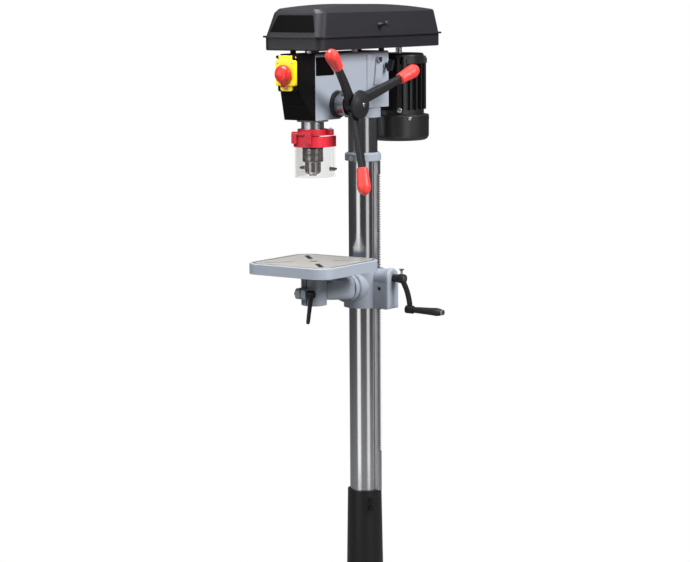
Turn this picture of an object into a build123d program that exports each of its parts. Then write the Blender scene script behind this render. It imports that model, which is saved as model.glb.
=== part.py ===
"""Floor drill press: base, column, crank table, belt-driven head and swing-away chuck guard.

Millimetres, +Z up. The origin is on the floor under the column's axis.
The front is -Y, and the feed handles are on the +X side.
"""
import math
import os

from build123d import *

os.makedirs("parts", exist_ok=True)

# Fits
run_fit = 0.05            # radial, a shaft that turns or slides in its bore
seat = 0.1                # radial, a piece that is clamped on its seat
slip = 0.3                # between faces that pass each other
casting_edge = 2          # round on the edges of castings and mouldings
steel_edge = 1.5          # round or bevel on the edges of steel parts
shaft_chamfer = 1

# Base plate
base_width = 270
base_length = 455
base_height = 36
base_corner = 32
base_draft = 8
base_wall = 10
base_skin = 12
base_rear = 118           # rear edge, behind the column's axis
base_edge_round = 4
floor_hole_radius = 6
floor_hole_inset = 26
floor_lug_wall = 13
base_rib = 12
pad_rise = 4
pad_radius = 100
work_pad_width = 190
work_pad_length = 170
work_pad_rise = 3
base_slot_width = 14
base_slot_length = 120
base_slot_spacing = 100

# Column, its flange and its rack
column_radius = 36.5
column_wall = 4
column_length = 1365
flange_height = 335
flange_foot_radius = 95
flange_foot = 16
flange_waist_radius = 47
flange_waist = 70
flange_top_wall = 6
flange_bolt_radius = 6
flange_bolt_circle = 76
flange_bolt_bite = 16
hex_ratio = 1.8           # corner radius of a hexagon head to its shank's radius
head_ratio = 1.3          # height of a hexagon head to its shank's radius
set_screw_radius = 4
flange_screw_angle = -35
flange_screw_drop = 24
flange_screw_gap = 19
rack_module = 2
rack_width = 13
rack_back = 0.4           # between the column and the rack
rack_body = 7.1           # rack's thickness under its teeth
rack_plain_low = 100
rack_plain_high = 30
collar_wall = 8.5
collar_height = 20
collar_drop = 87          # from the head's socket down to the collar's top
stub_addendum = 0.8       # in modules
dedendum = 1.25           # in modules
pressure_angle = 20
backlash = 0.35

# Reach and heights
spindle_reach = 210       # column axis to spindle axis
socket_depth = 92         # column held in the head
table_height = 975

# Table, its arm and its bracket
table_side = 245
table_corner = 40
table_plate = 11
table_rim = 26
table_rim_wall = 9
table_slot_width = 13
table_slot_start = 45
table_slot_end = 125
table_hub_radius = 32
table_hub = 17
table_shank_radius = 20
table_bore_radius = 11
table_rib = 8
table_trough_inset = 8
table_trough_width = 9
table_trough_depth = 2.5
arm_boss_wall = 11
arm_boss = 64
arm_slit = 3
arm_wall = 7
arm_lug = 26
arm_lug_thick = 14
tilt_drop = 80            # table's top to the tilt axis
tilt_disc_radius = 36
tilt_disc = 15
tilt_bolt_radius = 8
neck_wide_ratio = 1.7     # arm's neck to the tilt disc's radius
neck_narrow_ratio = 1.4   # arm's neck to its boss's radius
bracket_wall = 13
bracket_height = 95
bracket_above_tilt = 40
bracket_reach = 66.5      # column axis to the tilt face
bracket_slit = 3.2
ear_length = 30
ear_thick = 14
ear_height = 42
lock_bolt_radius = 5
lever_radius = 4.5
lever_length = 66
lever_ball = 8
lever_lean = 0.28
lever_hub = 16
lift_teeth = 15
lift_gear_width = 24
lift_pin_radius = 5
worm_radius = 10
worm_length = 23
worm_shaft_radius = 8
gearbox_wall = 12
gearbox_step = 3
gearbox_round = 5
lift_drop = 5             # tilt axis down to the lift gear
tilt_boss_rim = 2
crank_gap = 14
crank_hub_radius = 11.5
crank_hub = 20
crank_drop = 75
crank_flare = 25
crank_arm_width = 15
crank_arm_thick = 9
crank_neck = 9.5
crank_boss = 20
crank_screw_radius = 3
crank_grip_radius = 9.5
crank_grip = 82
crank_pin_radius = 4
crank_hub_taper = 1
crank_bow = (0.7, 0.45)   # middle of the arm's arc, in shares of its flare and drop
thumb_ratio = 2.2         # thumb screw's head to its shank
grip_thin = 0.78          # ends of the crank's grip, in shares of its radius
grip_wide_at = 0.72       # widest place of the crank's grip, in shares of its length
grip_shoulder = (0.94, 0.93)

# Head casting and its front cover
head_half = 46
head_nose = 51            # spindle axis to the casting's front
head_tail = 51            # column axis to the casting's rear
head_body = 138
head_corner = 6
head_edge = 3
socket_collar = 25        # socket below the casting's floor
socket_wall = 8
nose_drop = 20            # nose below the casting's floor
quill_ring_wall = 10.5
ridge_y = -37.5
ridge_width = 21
ridge_rise = 4
gusset_y = -3
gusset_foot = 55
gusset_low = 34
gusset_high = 16
gusset_height = 62
gusset_bite = 20
gusset_draft = 12
slide_lock_y = 30
slide_knob = 20
slide_knob_span = 30
slide_knob_draft = 6
slide_knob_turn = 70
slide_knob_ratio = 2.4    # knob's wing to its screw's radius
cover_depth = 40
cover_half = 27
cover_round = 5
cover_wall = 3
chin_height = 70
chin_ribs = 5
chin_rib_radius = 1.8
chin_rib_start = 0.7      # first rib, in rib pitches from the chin's top

# Quill, spindle and chuck
quill_radius = 27.5
quill_length = 172
quill_below = 33          # quill's nose below the casting at rest
quill_bore = 16
quill_bearing_radius = 22
quill_bearing = 12
quill_rack_margin = 15
quill_travel = 80
quill_rack_module = 1.5
quill_rack_flat = 26.5    # spindle axis to the tips of the quill's teeth
sleeve_bearing_radius = 31
sleeve_bearing = 20
spindle_radius = 14
spindle_shoulder = 2
spline_radius = 9
spline_above = 6
chuck_gap = 4
chuck_socket = 38
chuck_stub_radius = 10
chuck_flange = 14
chuck_flange_radius = 23
chuck_nose = 29
chuck_nose_radius = 19.2
chuck_bevel = 5
chuck_sleeve_height = 45.4
chuck_sleeve_radius = 25
chuck_sleeve_land = 3
chuck_sleeve_skin = 2.2
chuck_groove = 1.2
chuck_groove_places = (0.32, 0.58)
chuck_flange_bevel = 2
jaw_radius = 4
jaw_length = 30
jaw_circle = 6.2
jaw_angle = 14
jaw_show = 5
jaw_travel = 24
jaw_turn = 5
key_hole_radius = 3.5
key_hole_depth = 8

# Chuck guard
guard_radius = 46.5
guard_band = 26
guard_band_wall = 2
guard_back = 32
guard_overlap = 12
guard_drop = 73
guard_shield_wall = 2.4
guard_collar_wall = 9
guard_collar_height = 15
guard_ear = 13
guard_ear_back = 14
guard_screw_radius = 2.5
guard_pin_radius = 2.5
guard_pin_half = 30
guard_pin_inset = 2.5
guard_pin_rise = 5
guard_lug = 24
guard_knuckle = 5.5
guard_nut_radius = 2.5
guard_nut_rise = 19
guard_nut_back = 21
guard_wing_ratio = 9      # wing nut's span to its screw's radius
guard_extension_travel = 40
guard_extension_short = 2

# Pulleys
pulley_step = 13
pulley_steps = 4
pulley_floor = 22         # casting's top up to the pulleys
pulley_rim = 1.5
groove_depth = 7
groove_floor = 5
spindle_steps = (59, 49, 39, 29)
idler_steps = (29, 39, 49, 59)
motor_steps = (38, 32, 26, 20)
sleeve_radius = 13
sleeve_hub_ratio = 1.3    # pulley's hub to its sleeve
idler_y = -28
idler_pivot_x = 30
idler_pivot_y = -75
idler_pivot_depth = 18
idler_post_radius = 8
idler_plate = 6
idler_arm_round = 13
belt_thick = 6
belt_sink = 0.6           # belt's back below the groove's rim

# Belt guard
pan_half = 86
pan_nose = 83             # spindle axis to the pan's front
pan_tail = 68             # motor axis to the pan's rear
pan_gap = 8
pan_height = 30
pan_corner = 22
pan_wall = 2.5
pan_floor = 3
post_radius = 7
post_spread = 34
post_front = 30
post_rear = 33
lid_lip = 7
lid_lip_height = 4
lid_wall = 2.5
lid_shoulder = 58         # lip up to the shoulder
lid_shoulder_half = 76
lid_shoulder_front = 21
lid_shoulder_rear = 8
lid_top_half = 54
lid_top_front = 31
lid_top_rear = 24
lid_front_rise = 64
lid_crown_rise = 76
lid_rear_rise = 58
lid_knuckle = 5
lid_knuckle_width = 14
lid_pin_radius = 2.5
hinge_places = (-150, 100)
lid_knob_radius = 7
lid_knob_length = 28
lid_knob_rise = 26
lid_knob_y = -44
lid_knob_neck = (0.45, 0.55)      # shares of the knob's length and radius
lid_knob_belly = 0.8
lid_knob_tip = 0.3
lid_knob_shoulder = (0.94, 0.8)
lid_knob_foot = 2

# Feed shaft and handles
feed_teeth = 18
feed_rise = 41            # casting's lowest face up to the feed axis
feed_journal = 15.15
feed_shaft_radius = 12
feed_bezel_radius = 33
feed_bezel_depth = 8
spring_cap_radius = 36
spring_cap_depth = 28
spring_cap_wall = 4
spring_strip = 1.2
spring_turns = 3
feed_pinion = 48
feed_nut = 7
depth_ring_radius = 28
depth_ring_width = 26
depth_screw_turn = 25
feed_neck = 27
feed_neck_radius = 20
feed_disc = 10
feed_disc_radius = 35
hub_cap_rise = 6
hub_screw_radius = 3
arm_turn = 22
arm_root_width = 26
arm_bend_width = 19
arm_tip_width = 15
arm_thick = 13
arm_bend = 95
arm_bend_out = 24
arm_reach = 150
arm_reach_out = 38
grip_lean = 12
feed_grip = 66
feed_grip_radius = 16.5
feed_grip_foot = (0.72, 0.82)     # grip's foot before and after its bevel, in shares of its radius
feed_grip_bevel = 2
feed_grip_wide_at = 0.62          # widest place, in shares of its length
feed_grip_shoulder = (0.8, 0.87)
feed_grip_tip = 0.2
arm_bite = 1

# Motor slide
slide_bar_radius = 10
slide_spread = 28
slide_rise = 102          # casting's floor up to the slide bars
slide_bar_depth = 146
motor_y = 160
motor_shaft_radius = 8
motor_slide_in = 15
motor_slide_out = 6
motor_core_radius = 58
motor_fin_radius = 69
fin_count = 24
fin_thick = 3.5
fin_root = 2
motor_body = 115
motor_bell = 26
motor_drop = 10           # casting's top down to the motor's top
motor_foot = 13
motor_pad = 26
motor_lug_radius = 9
fan_cover_radius = 76
fan_cover_height = 65
fan_cover_round = 14
fan_cover_wall = 3
fan_slots = 12
fan_slot_width = 6
fan_screw_turn = 20
mount_plate = 8
terminal_width = 64
terminal_height = 62
terminal_depth = 34
terminal_round = 6
gland_radius = 8
gland_length = 18

# Switch
switch_half = 28
switch_height = 85
switch_depth = 8
switch_round = 5
switch_wall = 1.5
switch_lug = 8
flap_barrel = 3.5
flap_stub = 2
flap_depth = 9.5
flap_wall = 2
flap_height = 61
flap_tab = 12
flap_tab_width = 34
stop_rise = 42
start_gap = 22
button_radius = 7
button_proud = 4
button_travel = 3
stop_radius = 20.5
stop_tail = 25
stop_tail_radius = 6
stop_thick = 17
stop_stem = 5


def upright(x, y, z):
    """Plane at a point that faces up."""
    return Plane(origin=(x, y, z))


def facing_right(x, y, z):
    """Plane at a point that faces +X, with its own x along +Y and its y up."""
    return Plane(origin=(x, y, z), x_dir=(0, 1, 0), z_dir=(1, 0, 0))


def facing_front(x, y, z):
    """Plane at a point that faces -Y, with its own x along +X and its y up."""
    return Plane(origin=(x, y, z), x_dir=(1, 0, 0), z_dir=(0, -1, 0))


def facing_back(x, y, z):
    """Plane at a point that faces +Y, with its own x along -X and its y up."""
    return Plane(origin=(x, y, z), x_dir=(-1, 0, 0), z_dir=(0, 1, 0))


def outward(angle, z):
    """Plane on the column's axis that faces away from it, at an angle from +X."""
    turn = math.radians(angle)
    return Plane(origin=(0, 0, z), z_dir=(math.cos(turn), math.sin(turn), 0))


def turned_back(plane):
    """The same plane, facing the other way."""
    return Plane(origin=plane.origin, x_dir=plane.x_dir, z_dir=-plane.z_dir)


def rod(plane, radius, length, mode=Mode.ADD):
    """Round bar that starts on a plane and grows along its normal."""
    with Locations(plane):
        Cylinder(radius, length, align=(Align.CENTER, Align.CENTER, Align.MIN), mode=mode)


def tube(plane, radius, bore, length):
    """Round bar with a bore through it."""
    rod(plane, radius, length)
    rod(plane, bore, length, Mode.SUBTRACT)


def block(x_span, y_span, z_span, mode=Mode.ADD):
    """Box between two X, two Y and two Z values."""
    sizes = [high - low for low, high in (x_span, y_span, z_span)]
    middle = [(high + low) / 2 for low, high in (x_span, y_span, z_span)]
    with Locations(Location(middle)):
        Box(*sizes, mode=mode)


def hex_head(plane, shank_radius):
    """Hexagon head of the usual proportions for a shank, on a plane."""
    with BuildSketch() as head:
        RegularPolygon(hex_ratio * shank_radius, 6)
    extrude(to_extrude=plane * head.sketch, amount=head_ratio * shank_radius)


def lock_handle(plane, clamped):
    """Clamp bolt along a plane's normal: head, shank, hub and a drooping ball lever."""
    hex_head(turned_back(plane), lock_bolt_radius)
    rod(plane, lock_bolt_radius, clamped)
    rod(plane.offset(clamped), 2 * lock_bolt_radius, lever_hub)
    droop = Vector(0, 0, -1) + plane.z_dir * lever_lean
    shaft = Plane(origin=plane.offset(clamped + lever_hub / 2).origin, z_dir=droop)
    rod(shaft, lever_radius, lever_length)
    with Locations(shaft.offset(lever_length)):
        Sphere(lever_ball)


def u_wall(plane, radius, wall, back, height):
    """Upright U-shaped wall: a half circle in front of the plane's origin and two straight sides behind."""
    with BuildSketch() as outline:
        Circle(radius)
        with Locations((0, back / 2)):
            Rectangle(2 * radius, back)
            Rectangle(2 * (radius - wall), back, mode=Mode.SUBTRACT)
        Circle(radius - wall, mode=Mode.SUBTRACT)
        with Locations((0, back + radius / 2)):
            Rectangle(2 * radius, radius, mode=Mode.SUBTRACT)
    extrude(to_extrude=plane * outline.sketch, amount=height)


def rounded_section(plane, width, height, corner):
    """Rounded rectangle on a plane, for a loft."""
    with BuildSketch() as section:
        RectangleRounded(width, height, corner)
    return plane * section.sketch


def involute_point(base_radius, radius):
    """Polar angle of an involute at a radius, measured from its foot on the base circle."""
    roll = math.sqrt(max((radius / base_radius) ** 2 - 1, 0))
    return roll - math.atan(roll)


def gear_face(teeth, module, gap_angle):
    """Stub-tooth spur gear outline, with a tooth gap centred on gap_angle (radians)."""
    pitch_radius = module * teeth / 2
    base_radius = pitch_radius * math.cos(math.radians(pressure_angle))
    tip_radius = pitch_radius + stub_addendum * module
    root_radius = pitch_radius - dedendum * module
    low_radius = max(base_radius, root_radius)
    half_tooth = (math.pi * module / 2 - backlash) / 2 / pitch_radius
    half_foot = half_tooth + involute_point(base_radius, pitch_radius)
    radii = (low_radius, (low_radius + tip_radius) / 2, tip_radius)
    flank = [(r, half_foot - involute_point(base_radius, r)) for r in radii]
    step = 2 * math.pi / teeth

    def at(radius, angle):
        return (radius * math.cos(angle), radius * math.sin(angle))

    with BuildSketch() as outline:
        with BuildLine():
            for tooth in range(teeth):
                middle = gap_angle + (tooth + 0.5) * step
                low, half, tip = flank
                next_low = middle + step - low[1]
                ThreePointArc(*[at(r, middle - a) for r, a in (low, half, tip)])
                ThreePointArc(at(tip[0], middle - tip[1]), at(tip[0], middle), at(tip[0], middle + tip[1]))
                ThreePointArc(*[at(r, middle + a) for r, a in (tip, half, low)])
                Polyline(
                    at(low[0], middle + low[1]),
                    at(root_radius, middle + low[1]),
                    at(root_radius, next_low),
                    at(low[0], next_low),
                )
        make_face()
    return outline.sketch


def step_pulley(plane, radii, bore):
    """Pulley with one V groove for each radius, from the plane upwards, bored through."""
    side = (pulley_step - 2 * pulley_rim - groove_floor) / 2
    with BuildSketch() as profile:
        with BuildLine():
            for level, radius in enumerate(radii):
                low = level * pulley_step
                Polyline(
                    (radius, low),
                    (radius, low + pulley_rim),
                    (radius - groove_depth, low + pulley_rim + side),
                    (radius - groove_depth, low + pulley_rim + side + groove_floor),
                    (radius, low + pulley_step - pulley_rim),
                    (radius, low + pulley_step),
                )
            for level in range(1, len(radii)):
                Line((radii[level - 1], level * pulley_step), (radii[level], level * pulley_step))
            top = len(radii) * pulley_step
            Polyline((radii[-1], top), (bore, top), (bore, 0), (radii[0], 0))
        make_face()
    upright_profile = Plane(origin=plane.origin, x_dir=(1, 0, 0), z_dir=(0, -1, 0))
    revolve(profiles=upright_profile * profile.sketch, axis=Axis(plane.origin, (0, 0, 1)))


def belt_loop(near_y, near_radius, far_y, far_radius, z):
    """V belt round two pulleys on the Y axis: a trapezoid carried along lines and arcs."""
    sink = belt_sink + belt_thick / 2
    near, far = near_radius - sink, far_radius - sink
    rise = (near - far) / (far_y - near_y)
    out = math.sqrt(1 - rise ** 2)
    near_tangent = (near * out, near_y + near * rise)
    far_tangent = (far * out, far_y + far * rise)
    near_left, far_left = (-near_tangent[0], near_tangent[1]), (-far_tangent[0], far_tangent[1])
    with BuildLine(upright(0, 0, z)) as route:
        Line(near_tangent, far_tangent)
        ThreePointArc(far_tangent, (0, far_y + far), far_left)
        Line(far_left, near_left)
        ThreePointArc(near_left, (0, near_y - near), near_tangent)
    side = (pulley_step - 2 * pulley_rim - groove_floor) / 2
    lean_in = side / groove_depth
    back_half = (pulley_step - 2 * pulley_rim) / 2 - lean_in * belt_sink - slip
    front_half = back_half - lean_in * belt_thick
    heading = Vector(far_tangent[0] - near_tangent[0], far_tangent[1] - near_tangent[1], 0)
    section_plane = Plane(origin=(*near_tangent, z), x_dir=(0, 0, 1), z_dir=heading)
    outside = 1 if section_plane.y_dir.X > 0 else -1
    with BuildSketch() as section:
        with BuildLine():
            Polyline(
                (-back_half, outside * belt_thick / 2),
                (back_half, outside * belt_thick / 2),
                (front_half, -outside * belt_thick / 2),
                (-front_half, -outside * belt_thick / 2),
                close=True,
            )
        make_face()
    sweep(sections=section_plane * section.sketch, path=route.line)


def crown_shell(inset, bottom, mode):
    """Lid form, set in by a wall: three rounded sections lofted, under a crowned profile."""
    front, rear = axis_y - pan_nose + inset, motor_y + pan_tail - inset
    top_rise = lid_crown_rise + lid_wall
    levels = (
        (0, pan_half, 0, 0, pan_corner),
        (lid_shoulder, lid_shoulder_half, lid_shoulder_front, lid_shoulder_rear, pan_corner),
        (top_rise, lid_top_half, lid_top_front, lid_top_rear, pan_corner),
    )
    sections = []
    for rise, half, ahead, behind, corner in levels:
        length = rear - behind - front - ahead
        level = upright(0, front + ahead + length / 2, bottom + rise)
        sections.append(rounded_section(level, 2 * (half - inset), length, corner - inset))
    with BuildSketch() as profile:
        with BuildLine():
            arc_ends = (front, bottom + lid_front_rise - inset), (rear, bottom + lid_rear_rise - inset)
            crown = ((2 * front + rear) / 3, bottom + lid_crown_rise - inset)
            ThreePointArc(arc_ends[0], crown, arc_ends[1])
            Polyline(arc_ends[1], (rear, bottom), (front, bottom), arc_ends[0])
        make_face()
    body = loft(sections=sections, ruled=True, mode=Mode.PRIVATE)
    side_view = facing_right(-pan_half, 0, 0) * profile.sketch
    under = extrude(to_extrude=side_view, amount=2 * pan_half, mode=Mode.PRIVATE)
    add(body & under, mode=mode)


# Heights and places that follow from the sizes above
column_foot = base_height + pad_rise
column_top = column_foot + column_length
axis_y = -spindle_reach
base_middle = base_rear - base_length / 2
flange_top = column_foot + flange_height
flange_screw_high = flange_top - flange_screw_drop
flange_screw_levels = (flange_screw_high, flange_screw_high - flange_screw_gap)
head_bottom = column_top - socket_depth
collar_top = head_bottom - collar_drop
collar_bottom = collar_top - collar_height
table_bottom = table_height - table_rim
tilt_z = table_height - tilt_drop
rack_pitch_x = column_radius + rack_back + rack_body + dedendum * rack_module
lift_gear_radius = rack_module * lift_teeth / 2
lift_x = rack_pitch_x + lift_gear_radius
lift_tip = lift_gear_radius + stub_addendum * rack_module
lift_z = tilt_z - lift_drop
worm_z = lift_z + lift_tip + slip + worm_radius
rack_tip_x = rack_pitch_x + stub_addendum * rack_module
worm_start = lift_x - worm_length / 2
gearbox_half = lift_gear_width / 2 + slip + gearbox_wall
gearbox_end = lift_x + lift_tip + slip + gearbox_wall
crank_x = gearbox_end + crank_gap + crank_hub / 2
head_floor = head_bottom + socket_collar
head_top = head_floor + head_body
head_front = axis_y - head_nose
nose_bottom = head_floor - nose_drop
bearing_floor = head_top - sleeve_bearing
quill_pitch_y = quill_rack_flat - stub_addendum * quill_rack_module
feed_pitch_radius = quill_rack_module * feed_teeth / 2
feed_y = axis_y + quill_pitch_y + feed_pitch_radius
feed_z = head_bottom + feed_rise
slide_z = head_floor + slide_rise
quill_bottom = head_bottom - quill_below
belt_floor = head_top + pulley_floor
motor_low = head_top - motor_drop - motor_bell - motor_body
fan_top = motor_low - motor_foot
fan_low = fan_top - fan_cover_height
mount_back = motor_y - motor_fin_radius - slip
pulley_height = pulley_step * pulley_steps
bracket_top = tilt_z + bracket_above_tilt
bracket_bottom = bracket_top - bracket_height
bracket_bore = column_radius + slip
bracket_radius = bracket_bore + bracket_wall

# Base plate: a drafted iron slab, hollow below, with lugs, ribs and two raised pads
with BuildPart() as base_plate:
    with BuildSketch(upright(0, base_middle, 0)):
        RectangleRounded(base_width, base_length, base_corner)
    extrude(amount=base_height, taper=base_draft)
    fillet(base_plate.faces().sort_by(Axis.Z)[-1].edges(), base_edge_round)
    with BuildSketch(upright(0, base_middle, 0)):
        RectangleRounded(
            base_width - 2 * base_wall, base_length - 2 * base_wall, base_corner - base_wall
        )
    extrude(amount=base_height - base_skin, taper=base_draft, mode=Mode.SUBTRACT)
    floor_spacing = (base_width - 2 * floor_hole_inset, base_length - 2 * floor_hole_inset)
    with BuildSketch(upright(0, base_middle, 0)):
        with GridLocations(*floor_spacing, 2, 2):
            Circle(floor_hole_radius + floor_lug_wall)
    extrude(amount=base_height - base_skin)
    with BuildSketch(upright(0, 0, 0)):
        Circle(flange_bolt_circle + flange_bolt_bite)
    extrude(amount=base_height - base_skin)
    inner_half = base_length / 2 - base_wall
    rib_run = (base_middle - inner_half, base_middle)
    block((-base_rib / 2, base_rib / 2), rib_run, (base_rib, base_height - base_skin))
    with BuildSketch(upright(0, 0, base_height)):
        Circle(pad_radius)
    extrude(amount=pad_rise, taper=base_draft)
    with BuildSketch(upright(0, axis_y, base_height)):
        RectangleRounded(work_pad_width, work_pad_length, base_slot_width)
    extrude(amount=work_pad_rise, taper=base_draft)
    with BuildSketch(upright(0, axis_y, 0)):
        with GridLocations(base_slot_spacing, 0, 2, 1):
            SlotOverall(base_slot_length, base_slot_width, rotation=90)
    extrude(amount=base_height + pad_rise, mode=Mode.SUBTRACT)
    with BuildSketch(upright(0, base_middle, 0)):
        with GridLocations(*floor_spacing, 2, 2):
            Circle(floor_hole_radius)
    extrude(amount=base_height, mode=Mode.SUBTRACT)
    with BuildSketch(upright(0, 0, column_foot - flange_bolt_bite)):
        with PolarLocations(flange_bolt_circle, 4, 45):
            Circle(flange_bolt_radius + seat)
    extrude(amount=flange_bolt_bite, mode=Mode.SUBTRACT)
base_plate.part.label = "base_plate"
export_step(base_plate.part, "parts/base_plate.step")

# Column flange: a wide bolted foot that sweeps up into a long tapered socket
with BuildPart() as column_flange:
    bore = column_radius + seat
    foot_flat = flange_bolt_circle - hex_ratio * flange_bolt_radius - flange_bolt_radius
    with BuildSketch(facing_front(0, 0, column_foot)):
        with BuildLine():
            Polyline((foot_flat, flange_foot), (flange_foot_radius, flange_foot), (flange_foot_radius, 0))
            Polyline((flange_foot_radius, 0), (bore, 0), (bore, flange_height))
            Line((bore, flange_height), (bore + flange_top_wall, flange_height))
            Line((bore + flange_top_wall, flange_height), (flange_waist_radius, flange_waist))
            TangentArc(
                (flange_waist_radius, flange_waist),
                (foot_flat, flange_foot),
                tangent=(flange_waist_radius - bore - flange_top_wall, flange_waist - flange_height),
            )
        make_face()
    revolve(axis=Axis.Z)
    with BuildSketch(upright(0, 0, column_foot)):
        with PolarLocations(flange_bolt_circle, 4, 45):
            Circle(flange_bolt_radius + seat)
    extrude(amount=flange_foot, mode=Mode.SUBTRACT)
    for level in flange_screw_levels:
        rod(outward(flange_screw_angle, level), set_screw_radius + seat, flange_foot_radius, Mode.SUBTRACT)
column_flange.part.label = "column_flange"
export_step(column_flange.part, "parts/column_flange.step")

# Column: a ground steel tube
with BuildPart() as column:
    tube(upright(0, 0, column_foot), column_radius, column_radius - column_wall, column_length)
column.part.label = "column"
export_step(column.part, "parts/column.step")

# Rack collar: holds the rack's upper end, bevelled on top
with BuildPart() as rack_collar:
    collar_bore = column_radius + seat
    tube(upright(0, 0, collar_bottom), collar_bore + collar_wall, collar_bore, collar_height)
    outer_top = rack_collar.faces().sort_by(Axis.Z)[-1].edges().sort_by(SortBy.RADIUS)[-1]
    chamfer(outer_top, collar_wall / 2)
    collar_screw_z = collar_bottom + collar_height / 3
    rod(facing_front(0, 0, collar_screw_z), set_screw_radius + seat, 2 * column_radius, Mode.SUBTRACT)
rack_collar.part.label = "rack_collar"
export_step(rack_collar.part, "parts/rack_collar.step")

# Table rack: a straight bar beside the column with teeth along its outer face
rack_pitch = math.pi * rack_module
with BuildPart() as table_rack:
    rack_low = flange_top + slip
    rack_high = collar_bottom - slip
    block((column_radius + rack_back, rack_tip_x), (-rack_width / 2, rack_width / 2), (rack_low, rack_high))
    gaps_below = math.floor((lift_z - rack_low - rack_plain_low) / rack_pitch)
    gaps_above = math.floor((rack_high - rack_plain_high - lift_z) / rack_pitch)
    lean = math.tan(math.radians(pressure_angle))
    half_gap = (rack_pitch / 2 + backlash) / 2
    half_mouth = half_gap + stub_addendum * rack_module * lean
    half_floor = half_gap - dedendum * rack_module * lean
    tooth_depth = (stub_addendum + dedendum) * rack_module
    with BuildSketch(facing_front(rack_tip_x, rack_width / 2, lift_z)):
        for gap in range(-gaps_below, gaps_above):
            with BuildLine():
                middle = (gap + 0.5) * rack_pitch
                Polyline(
                    (0, middle - half_mouth),
                    (0, middle + half_mouth),
                    (-tooth_depth, middle + half_floor),
                    (-tooth_depth, middle - half_floor),
                    close=True,
                )
            make_face()
    extrude(amount=rack_width, mode=Mode.SUBTRACT)
table_rack.part.label = "table_rack"
export_step(table_rack.part, "parts/table_rack.step")

# Table bracket: a split sleeve on the column with a tilt boss in front and a gearbox at the right
with BuildPart() as table_bracket:
    rod(upright(0, 0, bracket_bottom), bracket_radius, bracket_height)
    rod(facing_front(0, 0, tilt_z), tilt_disc_radius + tilt_boss_rim, bracket_reach)
    with BuildSketch(facing_right(gearbox_end - gearbox_wall, 0, worm_z)):
        Circle(gearbox_half)
        with Locations((0, (bracket_bottom - worm_z) / 2)):
            Rectangle(2 * gearbox_half, worm_z - bracket_bottom)
    extrude(amount=gearbox_wall)
    fillet(table_bracket.faces().sort_by(Axis.X)[-1].edges(), gearbox_round)
    rod(facing_right(0, 0, worm_z), worm_radius + gearbox_wall, gearbox_end - gearbox_wall)
    inner_half = gearbox_half - gearbox_step
    block((0, gearbox_end - gearbox_wall), (-inner_half, inner_half), (bracket_bottom, worm_z - worm_radius))
    ear_out = bracket_radius + ear_length
    ear_half = bracket_slit / 2 + ear_thick
    ear_z = tilt_z - lift_drop
    with BuildSketch(facing_front(0, ear_half, ear_z)):
        with Locations((-ear_out / 2, 0)):
            RectangleRounded(ear_out, ear_height, ear_thick / 2)
    extrude(amount=2 * ear_half)
    rod(upright(0, 0, bracket_bottom), bracket_bore, bracket_height + gearbox_half, Mode.SUBTRACT)
    slit = (-bracket_slit / 2, bracket_slit / 2)
    block((-ear_out, 0), slit, (bracket_bottom, bracket_top), Mode.SUBTRACT)
    rack_half = rack_width / 2 + slip
    rack_top = bracket_top + gearbox_half
    block((0, rack_tip_x + slip), (-rack_half, rack_half), (bracket_bottom, rack_top), Mode.SUBTRACT)
    lift_side = lift_gear_width / 2 + slip
    rod(facing_front(lift_x, lift_side, lift_z), lift_tip + slip, 2 * lift_side, Mode.SUBTRACT)
    pin_half = inner_half - lift_pin_radius / 2
    rod(facing_front(lift_x, pin_half, lift_z), lift_pin_radius, 2 * pin_half)
    rod(facing_front(lift_x, -pin_half, lift_z), lift_pin_radius, gearbox_half, Mode.SUBTRACT)
    rod(facing_back(lift_x, pin_half, lift_z), lift_pin_radius, gearbox_half, Mode.SUBTRACT)
    rod(facing_right(worm_start - slip, 0, worm_z), worm_radius + slip, worm_length + 2 * slip, Mode.SUBTRACT)
    rod(facing_right(worm_start, 0, worm_z), worm_shaft_radius + run_fit, gearbox_end, Mode.SUBTRACT)
    lock_x = -bracket_radius - ear_length / 2
    rod(facing_front(lock_x, ear_half, ear_z), lock_bolt_radius + run_fit, 2 * ear_half, Mode.SUBTRACT)
    tilt_thread = bracket_reach - bracket_bore
    rod(facing_front(0, -bracket_bore, tilt_z), tilt_bolt_radius + run_fit, tilt_thread, Mode.SUBTRACT)
table_bracket.part.label = "table_bracket"
export_step(table_bracket.part, "parts/table_bracket.step")

# Column lock: clamp bolt and lever behind the bracket's ears
with BuildPart() as column_lock:
    lock_handle(facing_back(lock_x, -ear_half - slip, ear_z), 2 * ear_half + 2 * slip)
column_lock.part.label = "column_lock"
export_step(column_lock.part, "parts/column_lock.step")

# Lift gear: spur gear that climbs the rack, on its pin
with BuildPart() as lift_gear:
    lift_plane = facing_front(lift_x, lift_gear_width / 2, lift_z)
    extrude(to_extrude=lift_plane * gear_face(lift_teeth, rack_module, math.pi), amount=lift_gear_width)
    rod(lift_plane, lift_pin_radius + run_fit, lift_gear_width, Mode.SUBTRACT)
lift_gear.part.label = "lift_gear"
export_step(lift_gear.part, "parts/lift_gear.step")

# Lift worm: worm and crank shaft in one piece
with BuildPart() as lift_worm:
    rod(facing_right(worm_start, 0, worm_z), worm_radius, worm_length)
    rod(facing_right(worm_start, 0, worm_z), worm_shaft_radius, crank_x + crank_hub / 2 - worm_start)
    chamfer(lift_worm.faces().sort_by(Axis.X)[-1].edges(), shaft_chamfer)
lift_worm.part.label = "lift_worm"
export_step(lift_worm.part, "parts/lift_worm.step")

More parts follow.
